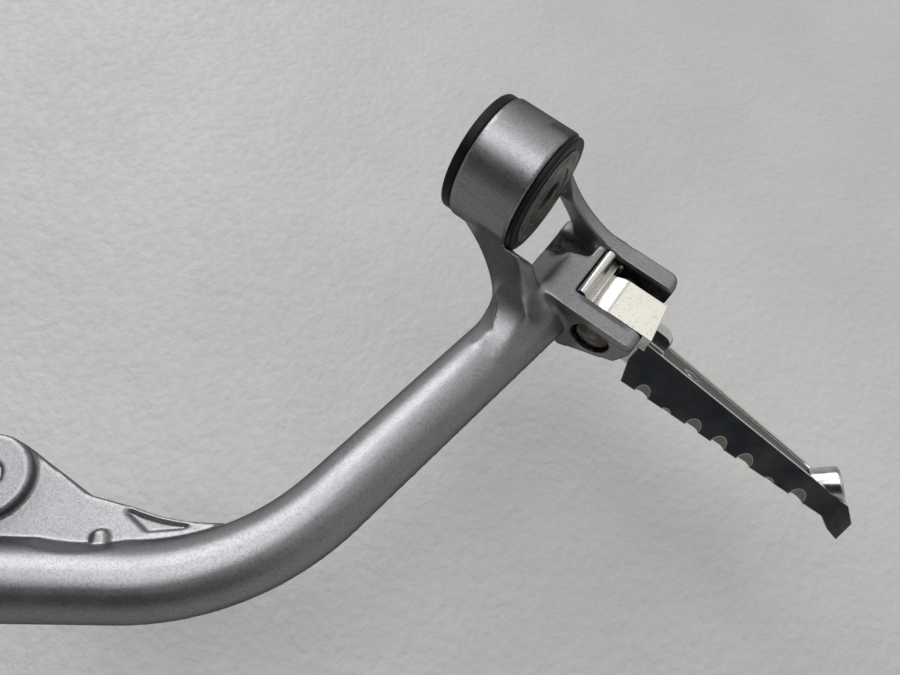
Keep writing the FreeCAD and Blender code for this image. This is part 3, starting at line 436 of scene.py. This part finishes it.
def put_piece(name, mesh, body, slot, material, *nodes):
    """Link a finished mesh as a piece that rides on a body and stands for CAD nodes."""
    mesh.materials.clear()
    mesh.materials.append(material)
    mesh.shade_smooth()
    piece = bpy.data.objects.new(name, mesh)
    bpy.context.collection.objects.link(piece)
    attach(piece, body)
    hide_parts(*nodes)
    return piece


def soft_step(value, low, high):
    """0 below low, 1 above high, with a smooth rise between."""
    share = np.clip((value - low) / (high - low), 0.0, 1.0)
    return share * share * (3.0 - 2.0 * share)


def below(value, full, end):
    """1 below full, falling smoothly to 0 at end."""
    return soft_step(-value, -end, -full)


def within(value, low, high, edge):
    """1 between low and high, falling smoothly to 0 over an edge width outside."""
    return soft_step(value, low - edge, low) * below(value, high, high + edge)


def region(points, spans):
    """Product of the soft ranges along X, Y and Z in which points lie."""
    return np.prod([within(axis, *span) for axis, span in zip(from_pivot(points), spans)], axis=0)


def read_all(items, key, width, kind):
    """One value of all points, edges or faces as an array with a row for each."""
    values = np.empty(len(items) * width, kind)
    items.foreach_get(key, values)
    return values.reshape(-1, width)


def merged_copy(node, flat_angle=None):
    """A copy of a node's mesh with its loose triangles joined, and faces within a flat angle made one."""
    mesh = frame["nodes"][node].data.copy()
    work = bmesh.new()
    work.from_mesh(mesh)
    bmesh.ops.remove_doubles(work, verts=work.verts, dist=MERGE_NODE)
    if flat_angle is not None:
        bmesh.ops.dissolve_limit(work, angle_limit=flat_angle, verts=work.verts, edges=work.edges)
    work.to_mesh(mesh)
    work.free()
    return mesh


def with_modifiers(mesh, **modifiers):
    """A new mesh as modifiers leave a given one, each named by its kind with its settings."""
    holder = bpy.data.objects.new(mesh.name + "_work", mesh)
    bpy.context.collection.objects.link(holder)
    for kind, settings in modifiers.items():
        modifier = holder.modifiers.new(kind, kind)
        for key, value in settings.items():
            setattr(modifier, key, value)
    depsgraph = bpy.context.evaluated_depsgraph_get()
    made = bpy.data.meshes.new_from_object(holder.evaluated_get(depsgraph))
    bpy.data.objects.remove(holder)
    bpy.data.meshes.remove(mesh)
    return made


class Skin:
    """A node's closed surface carried to an even grid, held as arrays of points, quads and edges."""

    def __init__(self, node, grain):
        self.mesh = with_modifiers(merged_copy(node), REMESH={"mode": "VOXEL", "voxel_size": grain})
        self.points = read_all(self.mesh.vertices, "co", 3, float)
        self.edges = read_all(self.mesh.edges, "vertices", 2, int)
        self.quads = read_all(self.mesh.loops, "vertex_index", 1, int).reshape(-1, 4)
        self.count = np.bincount(self.edges.ravel(), minlength=len(self.points)).astype(float)

    def around(self, values):
        """Sum of a value over the neighbours of each point along the edges."""
        one, two = self.edges.T
        return np.bincount(one, values[two], len(values)) + np.bincount(two, values[one], len(values))

    def step(self):
        """The way from each point to the mean of its neighbours along the edges."""
        total = np.stack([self.around(axis) for axis in self.points.T], 1)
        return total / self.count[:, None] - self.points

    def normals(self):
        """Unit normal of each point: the sum of the crossed diagonals of the quads round it."""
        corners = self.points[self.quads]
        face = np.cross(corners[:, 2] - corners[:, 0], corners[:, 3] - corners[:, 1])
        flat = self.quads.ravel()
        total = np.stack([np.bincount(flat, np.repeat(axis, 4), len(self.points)) for axis in face.T], 1)
        return total / np.maximum(np.linalg.norm(total, axis=1, keepdims=True), 1e-12)

    def even(self, rounds):
        """Take out the grid's fine steps: each round moves the points a share of the way to their
        neighbours' mean and then nearly as far back."""
        for _ in range(rounds):
            self.points = self.points + EVEN_SHARE * self.step()
            self.points = self.points - BACK_SHARE * EVEN_SHARE * self.step()

    def fill(self, weight, rounds, outer=OUTER_SHARE):
        """Fill inner corners: a point moves toward its neighbours' mean where that lies outside the
        surface, and only by the outer share of that where it lies inside, so that outer edges stay."""
        for _ in range(rounds):
            step = self.step()
            outward = (step * self.normals()).sum(1)
            share = np.where(outward > 0.0, 1.0, outer) * FILL_SHARE * weight
            self.points = self.points + share[:, None] * step

    def hollow(self, rounds):
        """How hollow the surface is about each point in metres, spread over some rounds of neighbours."""
        depth = (self.step() * self.normals()).sum(1)
        for _ in range(rounds):
            depth = 0.5 * depth + 0.5 * self.around(depth) / self.count
        return depth

    def finished(self, **masks):
        """The mesh with its points set and each mask stored on them."""
        self.mesh.vertices.foreach_set("co", self.points.ravel())
        for name, values in masks.items():
            self.mesh.attributes.new(name, "FLOAT", "POINT").data.foreach_set("value", values)
        self.mesh.update()
        return self.mesh


def edged(node, width, masks):
    """A node's surface with its flat faces joined, its masks stored face by face, and its edges eased."""
    flat_angle, edge_angle = 0.01, np.radians(30.0)
    mesh = merged_copy(node, flat_angle)
    middles = read_all(mesh.polygons, "center", 3, float)
    normals = read_all(mesh.polygons, "normal", 3, float)
    for name, values in masks(middles, normals).items():
        mesh.attributes.new(name, "FLOAT", "FACE").data.foreach_set("value", values)
    mesh.shade_smooth()
    bevel = {"width": width, "segments": 2, "limit_method": "ANGLE", "angle_limit": edge_angle,
             "use_clamp_overlap": False}
    return with_modifiers(mesh, BEVEL=bevel, WEIGHTED_NORMAL={"weight": 100, "keep_sharp": True})


def eased(corners, radius, closed):
    """An outline whose corners are quadratic arcs that start and end a radius away from the corner, or at
    nearly half of a shorter run; the ends of an open outline stay."""
    most, steps = 0.45, 6
    corners = np.array(corners, float)
    ways = [np.roll(corners, shift, 0) - corners for shift in (1, -1)]
    lengths = [np.linalg.norm(way, axis=1, keepdims=True) for way in ways]
    start, end = (corners + way * np.minimum(radius / length, most) for way, length in zip(ways, lengths))
    share = np.linspace(0.0, 1.0, steps)[None, :, None]
    arcs = ((1 - share) ** 2 * start[:, None] + 2 * share * (1 - share) * corners[:, None]
            + share ** 2 * end[:, None])
    if closed:
        return arcs.reshape(-1, 2)
    return np.concatenate([corners[:1], arcs[1:-1].reshape(-1, 2), corners[-1:]])


def grid_mesh(name, grid, loop):
    """A mesh over rows of points: neighbouring rows and columns are joined by quads, the columns close
    round and so do the rows of a loop; rows that shrink to one point are merged."""
    rows, columns = grid.shape[:2]
    index = np.arange(rows * columns).reshape(rows, columns)
    first = index if loop else index[:-1]
    second = np.roll(index, -1, 0) if loop else index[1:]
    quads = np.stack([first, np.roll(first, -1, 1), np.roll(second, -1, 1), second], 2).reshape(-1, 4)
    mesh = bpy.data.meshes.new(name)
    mesh.from_pydata((PIVOT + grid.reshape(-1, 3) * MM).tolist(), [], quads.tolist())
    work = bmesh.new()
    work.from_mesh(mesh)
    bmesh.ops.remove_doubles(work, verts=work.verts, dist=MERGE_GRID)
    bmesh.ops.dissolve_degenerate(work, edges=work.edges, dist=MERGE_GRID)
    bmesh.ops.recalc_face_normals(work, faces=work.faces)
    work.to_mesh(mesh)
    work.free()
    return mesh


def turned(name, outline, origin, axis, loop, sides=128):
    """A turned form: each place of the outline, along the axis and out from it, is carried round the axis
    at origin + along * axis + out * (cos a * side + sin a * other)."""
    axis = np.array(axis, float) / np.linalg.norm(axis)
    askew = (0.31, 0.47, 0.83)
    side = np.cross(axis, askew)
    side /= np.linalg.norm(side)
    angle = np.linspace(0.0, 2 * np.pi, sides, endpoint=False)[:, None]
    ring = np.cos(angle) * side + np.sin(angle) * np.cross(axis, side)
    along, out = outline[:, 0, None, None], outline[:, 1, None, None]
    return grid_mesh(name, np.array(origin) + along * axis + out * ring, loop)


def wire(name, path, outward, radius, sides=16):
    """A round wire: a circle in the plane of the outward direction and the coil's axis, carried along a
    path, with a point at each end."""
    angle = np.linspace(0.0, 2 * np.pi, sides, endpoint=False)[None, :, None]
    circle = np.cos(angle) * outward[:, None] + np.sin(angle) * np.array((0.0, 1.0, 0.0))
    size = np.full((len(path), 1, 1), radius)
    size[[0, -1]] = 0.0
    return grid_mesh(name, path[:, None] + size * circle, False)


class FOOTPEG_OT_hanger(bpy.types.Operator):
    """Cast hanger with softly blended joins, painted shade in its slot, corners and hollows, and old grease
    on its rims
    """

    bl_idname = "footpeg.hanger"
    bl_label = "Hanger"

    def execute(self, context):
        sizes = context.scene.footpeg_sizes
        skin = Skin("hanger", sizes.cast_grain)
        skin.even(EVEN_FIRST)
        start = skin.points.copy()
        x, y, z = from_pivot(start)
        off_bore = soft_step(np.hypot(y - BUSH_MIDDLE[1], z - BUSH_MIDDLE[2]), *OFF_BORE)
        off_bolt = soft_step(np.hypot(x - BOLT_HOLE[0], y - BOLT_HOLE[1]), *OFF_BOLT)
        self.sweep(skin, sizes)
        skin.fill(region(start, JOINS) * off_bore, sizes.join_rounds)
        skin.fill(region(start, RAMP), sizes.join_rounds, outer=1.0)
        skin.fill(region(start, ARM_END) * off_bolt, sizes.join_rounds)
        skin.even(EVEN_LAST)
        # The grime mask stored here holds painted shade and old grease
        mesh = skin.finished(grime=self.grime(skin))
        paint = silver_paint(context.scene.footpeg_finish)
        put_piece("hanger_casting", mesh, HANGER_BODY, "silver_paint", paint, "hanger")
        return {"FINISHED"}

    def sweep(self, skin, sizes):
        """Carry the leg's near face out onto the arm: in the upright plane across the corner, points that
        lie between the corner and an ellipse that touches face and arm go to the ellipse, toward its
        middle."""
        x, y, z = from_pivot(skin.points)
        run, rise = sizes.sweep_run / MM, sizes.sweep_rise / MM
        across, up = (run - (LEG_FACE - y)) / run, (rise - (z - ARM_CROWN)) / rise
        reach = np.maximum(np.hypot(across, up), 1.0)
        near_face = soft_step(LEG_FACE - y, *FACE_TOUCH) * soft_step(across, *SWEEP_END)
        near_arm = soft_step(z - ARM_CROWN, *CROWN_TOUCH) * soft_step(up, *SWEEP_END)
        shift = within(x, *SWEEP_SPAN) * near_face * near_arm * (1.0 - 1.0 / reach) * MM
        skin.points[:, 1] -= shift * run * across
        skin.points[:, 2] += shift * rise * up

    def grime(self, skin):
        """Dark mask: painted shade all over the slot, in the pin's counterbore, on the low step, in the
        hollows and on the near-side faces between the bush and the clevis; old grease along the near ear's
        inner rim and as a smear on the barrel's rim."""
        x, y, z = from_pivot(skin.points)
        # Painted shade in the pin's counterbore
        bore = region(skin.points, COUNTERBORE_SHADE) * below(np.hypot(x, z), *BORE_SHADE_REACH)
        smear = region(skin.points, SMEAR) * below(np.hypot(y - SMEAR_Y, z - SMEAR_Z), *SMEAR_REACH)
        # Painted shade in the hollows: concave places are darkened
        depth = skin.hollow(HOLLOW_ROUNDS) / MM
        hollow = soft_step(depth, *HOLLOW_DEPTH) * soft_step(y, *HOLLOW_START)
        # Painted shade on faces that look to the near side
        near_side = soft_step(-skin.normals()[:, 1], *NEAR_FACING)
        painted_near_shade = region(skin.points, NEAR_FACE_SHADE) * near_side * (z < NEAR_SHADE_TOP)
        # Painted shade in the slot and on the low step; old grease on the ear's rim and in the smear
        parts = (region(skin.points, SLOT_SHADE), bore, 0.9 * region(skin.points, STEP_SHADE),
                 0.55 * region(skin.points, GREASY_RIM), 0.8 * smear, 0.5 * hollow, 0.5 * painted_near_shade)
        return np.clip(np.maximum.reduce(parts), 0.0, 1.0)


class FOOTPEG_OT_bush(bpy.types.Operator):
    """Rubber bush with its two flanges and the steel collar in it"""

    bl_idname = "footpeg.bush"
    bl_label = "Bush"

    def execute(self, context):
        finish, sizes = context.scene.footpeg_finish, context.scene.footpeg_sizes
        length = BUSH_HIGH[0] - BUSH_LOW[0]
        flange = (BUSH_HIGH[1] - BUSH_LOW[1]) / 2
        origin, axis = (BUSH_LOW[0], BUSH_MIDDLE[1], BUSH_MIDDLE[2]), (1, 0, 0)
        body, sleeve, back, face = 18.8, 10.0, 3.5, 2.0
        rubber = [(0, sleeve), (length, sleeve), (length, flange), (length - face, flange),
                  (length - face, body), (back, body), (back, flange), (0, flange)]
        outline = eased(rubber, sizes.rubber_round / MM, True)
        mesh = turned("bush_rubber_turned", outline, origin, axis, True)
        put_piece("rubber_bush", mesh, HANGER_BODY, "black_rubber", black_rubber(finish), "bush_rubber")
        bore, disc, plate, groove = BUSH_BORE["r_mm"], 16.6, 0.6, 0.45
        end = length + plate
        collar = [(0, bore), (end - 0.5, bore), (end, bore + 0.6), (end, 8.2), (end - groove, 8.5),
                  (end - groove, 10.2), (end, 10.5), (end, 14.4), (end - 0.2, 14.7), (end - 0.2, disc),
                  (length, disc), (length, sleeve), (0, sleeve)]
        outline = eased(collar, sizes.steel_round / MM, True)
        mesh = turned("bush_collar_turned", outline, origin, axis, True)
        steel = worn_steel("worn_steel", tuple(PIVOT + BUSH_MIDDLE * MM), "X")
        put_piece("steel_collar", mesh, HANGER_BODY, "worn_steel", steel, "bush_collar")
        return {"FINISHED"}


class FOOTPEG_OT_pin(bpy.types.Operator):
    """Pivot pin, washer, clip and return spring"""

    bl_idname = "footpeg.pin"
    bl_label = "Pivot pin"

    def execute(self, context):
        sizes = context.scene.footpeg_sizes
        length = PIN_HIGH[1] - PIN_LOW[1]
        head, thick, shaft, groove = (PIN_HIGH[0] - PIN_LOW[0]) / 2, 2.4, 4.0, 3.3
        clip_start, clip_end = (corner[1] - PIN_LOW[1] for corner in node_box("pin_clip"))
        pin = [(0.5, 0), (0.5, 2.6), (0, 3.1), (0, head - 0.9), (0.5, head), (thick, head), (thick, shaft),
               (clip_start, shaft), (clip_start, groove), (clip_end, groove), (clip_end, shaft),
               (length - 0.6, shaft), (length, shaft - 0.6), (length, 0)]
        outline = eased(pin, sizes.steel_round / MM, False)
        mesh = turned("pin_turned", outline, (0, PIN_LOW[1], 0), (0, 1, 0), False)
        put_piece("headed_pin", mesh, HANGER_BODY, "pin_steel", pin_steel(), "pivot_pin")
        dress("pin_washer", worn_steel("washer_steel", tuple(PIVOT), "Y"))
        grey_steel = spring_steel()
        dress("pin_clip", grey_steel)
        mesh = wire("spring_wire", *self.spring_path(sizes), sizes.wire_radius / MM)
        put_piece("coil_spring", mesh, HANGER_BODY, "spring_steel", grey_steel, "return_spring")
        return {"FINISHED"}

    def spring_path(self, sizes):
        """Middle line of the wire and its outward directions: down one leg, round the coil by (-R cos a,
        -pitch a / 2 pi, -R sin a), and back along the other leg. Each leg's outer end stands twice."""
        low, high = node_box("return_spring")
        radius, pitch = sizes.coil_radius / MM, sizes.coil_pitch / MM
        far, reach = high[1] - sizes.wire_radius * DIAGONAL / MM, low[0]
        turns, places = 1.75, 120
        angle = np.linspace(0.0, turns * 2 * np.pi, places)
        outward = np.stack([-np.cos(angle), 0 * angle, -np.sin(angle)], 1)
        coil = radius * outward + np.stack([0 * angle, far - pitch * angle / (2 * np.pi), 0 * angle], 1)
        leg_up = coil[0] + np.array((0.0, 0.0, 1.0)) * np.array([[high[2]], [high[2]], [high[2] / 2]])
        leg_back = coil[-1] + np.array((1.0, 0.0, 0.0)) * np.array([[reach / 2], [reach], [reach]])
        path = np.concatenate([leg_up, coil, leg_back])
        return path, np.concatenate([outward[[0, 0, 0]], outward, outward[[-1, -1, -1]]])


class FOOTPEG_OT_peg(bpy.types.Operator):
    """Toothed aluminium peg and its feeler"""

    bl_idname = "footpeg.peg"
    bl_label = "Peg"

    def execute(self, context):
        finish, sizes = context.scene.footpeg_finish, context.scene.footpeg_sizes
        mesh = edged("footpeg", sizes.edge_width, self.masks)
        put_piece("peg_casting", mesh, PEG_BODY, "bare_aluminium", bare_aluminium(finish), "footpeg")
        x, across, level = FEELER_PLACE
        origin = (x, DIAGONAL * (across + level), DIAGONAL * (level - across))
        axis = (np.sin(FEELER_LEAN), DIAGONAL * np.cos(FEELER_LEAN), DIAGONAL * np.cos(FEELER_LEAN))
        foot, shoulder, top, stem, nub = -4.6, -2.68, 6.5, 2.58, 6.08
        feeler = [(foot, 0), (foot, stem), (shoulder, stem), (shoulder, nub), (top - 0.8, nub), (top, 5.5),
                  (top, 4.9), (top - 0.25, 4.6), (top - 0.25, 0)]
        outline = eased(feeler, sizes.steel_round / MM, False)
        mesh = turned("feeler_turned", outline, origin, axis, False)
        put_piece("turned_feeler", mesh, PEG_BODY, "turned_steel", turned_steel(), "lean_feeler")
        return {"FINISHED"}

    def masks(self, middles, normal):
        """Where the peg is dull: the channel between the rims, the cut notches with the tread, and the
        milled face of the tang. Across and level are the peg's own turned directions."""
        x, y, z = from_pivot(middles)
        across, level = DIAGONAL * (y - z), DIAGONAL * (y + z)
        face_across = np.abs(DIAGONAL * (normal[:, 1] - normal[:, 2]))
        face_level = DIAGONAL * (normal[:, 1] + normal[:, 2])
        face_up = normal[:, 2]
        half = PEG_HALF - (x - PEG_ROOT) * PEG_TAPER
        under = PEG_UNDER + (x - PEG_ROOT) * PEG_SLOPE
        inside = half - np.abs(across - PEG_MIDDLE)
        sunk = soft_step(under - level, 0.2, 0.6) * soft_step(face_level, 0.1, 0.5)
        off_rims = soft_step(inside, RIM_WIDE - 0.2, RIM_WIDE + 0.2)
        channel = within(x, CHANNEL_START, CHANNEL_END, 0.5) * off_rims * sunk
        wall = below(inside, 0.12, 0.35) * soft_step(face_across, 0.9, 0.97)
        low = below(level, PEG_TREAD + 4.0, PEG_TREAD + 6.0) * within(x, PEG_ROOT, TREAD_END, 1.0)
        facing_down = soft_step(-face_level, 0.5, 0.7) * soft_step(x, 18.0, 20.0)
        tread = np.clip(low * (1.0 - wall) + facing_down, 0.0, 1.0)
        trough = soft_step(face_up, 0.05, 0.3) * soft_step(z, 4.0, 4.5) * within(x, -13.0, 18.0, 0.6)
        flat_top = soft_step(face_up, 0.93, 0.98) * soft_step(x, 0.0, 2.0)
        tang = trough * (0.35 + 0.65 * flat_top)
        return {"channel": channel, "tread": tread, "tang": tang}


# Camera seen from the pivot, in millimetres: its place, and its right, up and backward directions
CAMERA_PLACE = (3.6, -137.6, 209.1)
CAMERA_RIGHT = (0.7965, 0.5967, 0.0979)
CAMERA_UP = (-0.5774, 0.7023, 0.4165)
CAMERA_BACK = (0.1797, -0.3883, 0.9038)

# Bright parts of the sky: middle, brightness, and the angles in degrees where each is full and where it
# ends
SKY_LIGHTS = (
    ((0.08, 0.48, 0.87), 0.45, 16.0, 52.0),
    ((0.68, 0.18, 0.71), 0.14, 18.0, 62.0),
)
LIGHT_TONE = np.array((1.0, 1.0, 0.985))

# Colours of the sky on the near side, on the far side and round its foot, and the directions along which
# the far side and the foot set in, with the parts along them where each starts and is full
SKY_NEAR, SKY_FAR, SKY_FOOT = (0.016, 0.019, 0.023), (0.28, 0.283, 0.28), (0.36, 0.363, 0.36)
FAR_SIDE = ((0.12, 1.0, 0.1), -0.5, 0.15)
FOOT_SIDE = ((0.0, 0.0, -1.0), -0.40, -0.16)

# Directions in which the two lamps stand
SIDE_LAMP, TOP_LAMP = (-0.70, 0.31, 0.64), (-0.25, -0.08, 0.965)

# In metres, but the sensor in millimetres
FLOOR_HALF, FLOOR_GAP, CLIP_START, SENSOR_WIDTH = 20.0, 0.003, 0.01, 36.0


def foam_floor(stage):
    """Pale foam with soft dimples and a faint sheen."""
    made = Finish("foam_floor")
    patches = made.noise(9.0, detail=4.0)
    dimples = made.noise(230.0, detail=3.0, rough=0.5)
    creases = made.noise(60.0, detail=4.0, rough=0.6)
    pale = tuple(stage.floor_colour)
    worn = tuple(0.9 * level for level in pale[:3]) + (1.0,)
    colour = made.mix(made.level(patches, 0.0, 1.0, *WIDE_BAND), worn, pale)
    waves = made.bump(creases, strength=0.3, distance=0.003)
    relief = made.bump(dimples, strength=0.45, distance=0.0016, normal=waves)
    rough = made.level(dimples, 0.4, 0.6, *WIDE_BAND)
    return made.set(colour=colour, rough=rough, metal=0.0, normal=relief)


def studio_sky(level):
    """A dim room: dark on the near side, grey on the far side, pale near the horizon, with broad soft
    lights overhead."""
    world = bpy.data.worlds.new("studio")
    world.use_nodes = True
    tree = world.node_tree
    background = tree.nodes["Background"]
    way = tree.nodes.new("ShaderNodeTexCoord").outputs["Generated"]

    def share(direction, start, end):
        """0 where the way's part along a direction is below start, 1 above end, smooth between."""
        dot = tree.nodes.new("ShaderNodeVectorMath")
        dot.operation = "DOT_PRODUCT"
        dot.inputs[1].default_value = Vector(direction).normalized()
        tree.links.new(way, dot.inputs[0])
        rise = tree.nodes.new("ShaderNodeMapRange")
        rise.interpolation_type = "SMOOTHSTEP"
        rise.inputs[1].default_value = start
        rise.inputs[2].default_value = end
        tree.links.new(dot.outputs["Value"], rise.inputs[0])
        return rise.outputs[0]

    def blend(kind, factor, one, two):
        """Two colours joined by a factor; the first may come from another node."""
        node = tree.nodes.new("ShaderNodeMix")
        node.data_type = "RGBA"
        node.blend_type = kind
        tree.links.new(factor, node.inputs["Factor"])
        if isinstance(one, bpy.types.NodeSocket):
            tree.links.new(one, node.inputs[6])
        else:
            node.inputs[6].default_value = (*one, 1.0)
        node.inputs[7].default_value = (*two, 1.0)
        return node.outputs[2]

    colour = blend("MIX", share(*FAR_SIDE), SKY_NEAR, SKY_FAR)
    colour = blend("MIX", share(*FOOT_SIDE), colour, SKY_FOOT)
    for direction, bright, full, end in SKY_LIGHTS:
        spread = share(direction, np.cos(np.radians(end)), np.cos(np.radians(full)))
        colour = blend("ADD", spread, colour, bright * LIGHT_TONE)
    tree.links.new(colour, background.inputs["Color"])
    background.inputs["Strength"].default_value = level
    return world


def soft_lamp(context, name, direction, width, strength):
    """A far round lamp that shines from a direction and covers an angle, so its light is even all over."""
    data = bpy.data.lights.new(name, "SUN")
    data.angle = width
    data.energy = strength
    lamp = bpy.data.objects.new(name, data)
    context.collection.objects.link(lamp)
    toward = Vector(direction).normalized()
    lamp.location = Vector(PIVOT) + toward
    lamp.rotation_euler = toward.to_track_quat("Z", "Y").to_euler()


class FOOTPEG_OT_stage(bpy.types.Operator):
    """Floor below the peg's whole swing, lamps, sky and camera"""

    bl_idname = "footpeg.stage"
    bl_label = "Stage"

    def execute(self, context):
        scene = context.scene
        stage = scene.footpeg_stage
        low, high = node_box("footpeg")
        swing = np.hypot(high[0], low[2]) * MM
        level = min(CAD_LOW.z, PIVOT[2] - swing) - FLOOR_GAP
        corners = [(PIVOT[0] + right * FLOOR_HALF, PIVOT[1] + away * FLOOR_HALF, level)
                   for right, away in ((-1, -1), (1, -1), (1, 1), (-1, 1))]
        mesh = bpy.data.meshes.new("floor")
        mesh.from_pydata(corners, [], [(0, 1, 2, 3)])
        mesh.materials.append(foam_floor(stage))
        floor = bpy.data.objects.new("floor", mesh)
        context.collection.objects.link(floor)
        soft_lamp(context, "side_lamp", SIDE_LAMP, stage.side_width, stage.side_level)
        soft_lamp(context, "top_lamp", TOP_LAMP, stage.top_width, stage.top_level)
        scene.world = studio_sky(stage.sky_level)
        camera_data = bpy.data.cameras.new("camera")
        camera_data.sensor_width = SENSOR_WIDTH
        camera_data.lens = stage.lens
        camera_data.clip_start = CLIP_START
        camera = bpy.data.objects.new("camera", camera_data)
        context.collection.objects.link(camera)
        camera.matrix_world = Matrix((CAMERA_RIGHT, CAMERA_UP, CAMERA_BACK)).transposed().to_4x4()
        camera.location = Vector(PIVOT) + Vector(CAMERA_PLACE) * MM
        scene.camera = camera
        scene.view_settings.view_transform = "Standard"
        return {"FINISHED"}


class FOOTPEG_PT_panel(bpy.types.Panel):
    """Sidebar panel with the operators and their sizes"""

    bl_label = "Footpeg"
    bl_idname = "FOOTPEG_PT_panel"
    bl_space_type = "VIEW_3D"
    bl_region_type = "UI"
    bl_category = "Footpeg"

    def draw(self, context):
        scene = context.scene
        for group in (scene.footpeg_finish, scene.footpeg_sizes, scene.footpeg_stage):
            for key in group.__annotations__:
                self.layout.prop(group, key)
        for operator in OPERATORS:
            self.layout.operator(operator.bl_idname)


OPERATORS = (FOOTPEG_OT_hanger, FOOTPEG_OT_bush, FOOTPEG_OT_pin, FOOTPEG_OT_peg, FOOTPEG_OT_stage)
CLASSES = (FootpegFinish, FootpegSizes, FootpegStage, *OPERATORS, FOOTPEG_PT_panel)


def register():
    """Register the classes and hang the three groups of properties on the scene."""
    for cls in CLASSES:
        bpy.utils.register_class(cls)
    bpy.types.Scene.footpeg_finish = bpy.props.PointerProperty(type=FootpegFinish)
    bpy.types.Scene.footpeg_sizes = bpy.props.PointerProperty(type=FootpegSizes)
    bpy.types.Scene.footpeg_stage = bpy.props.PointerProperty(type=FootpegStage)


def unregister():
    """Take away what register adds."""
    del bpy.types.Scene.footpeg_stage
    del bpy.types.Scene.footpeg_sizes
    del bpy.types.Scene.footpeg_finish
    for cls in reversed(CLASSES):
        bpy.utils.unregister_class(cls)


def main():
    """Build all pieces and the stage."""
    register()
    bpy.ops.footpeg.hanger()
    bpy.ops.footpeg.bush()
    bpy.ops.footpeg.pin()
    bpy.ops.footpeg.peg()
    bpy.ops.footpeg.stage()


if __name__ == "__main__":
    main()
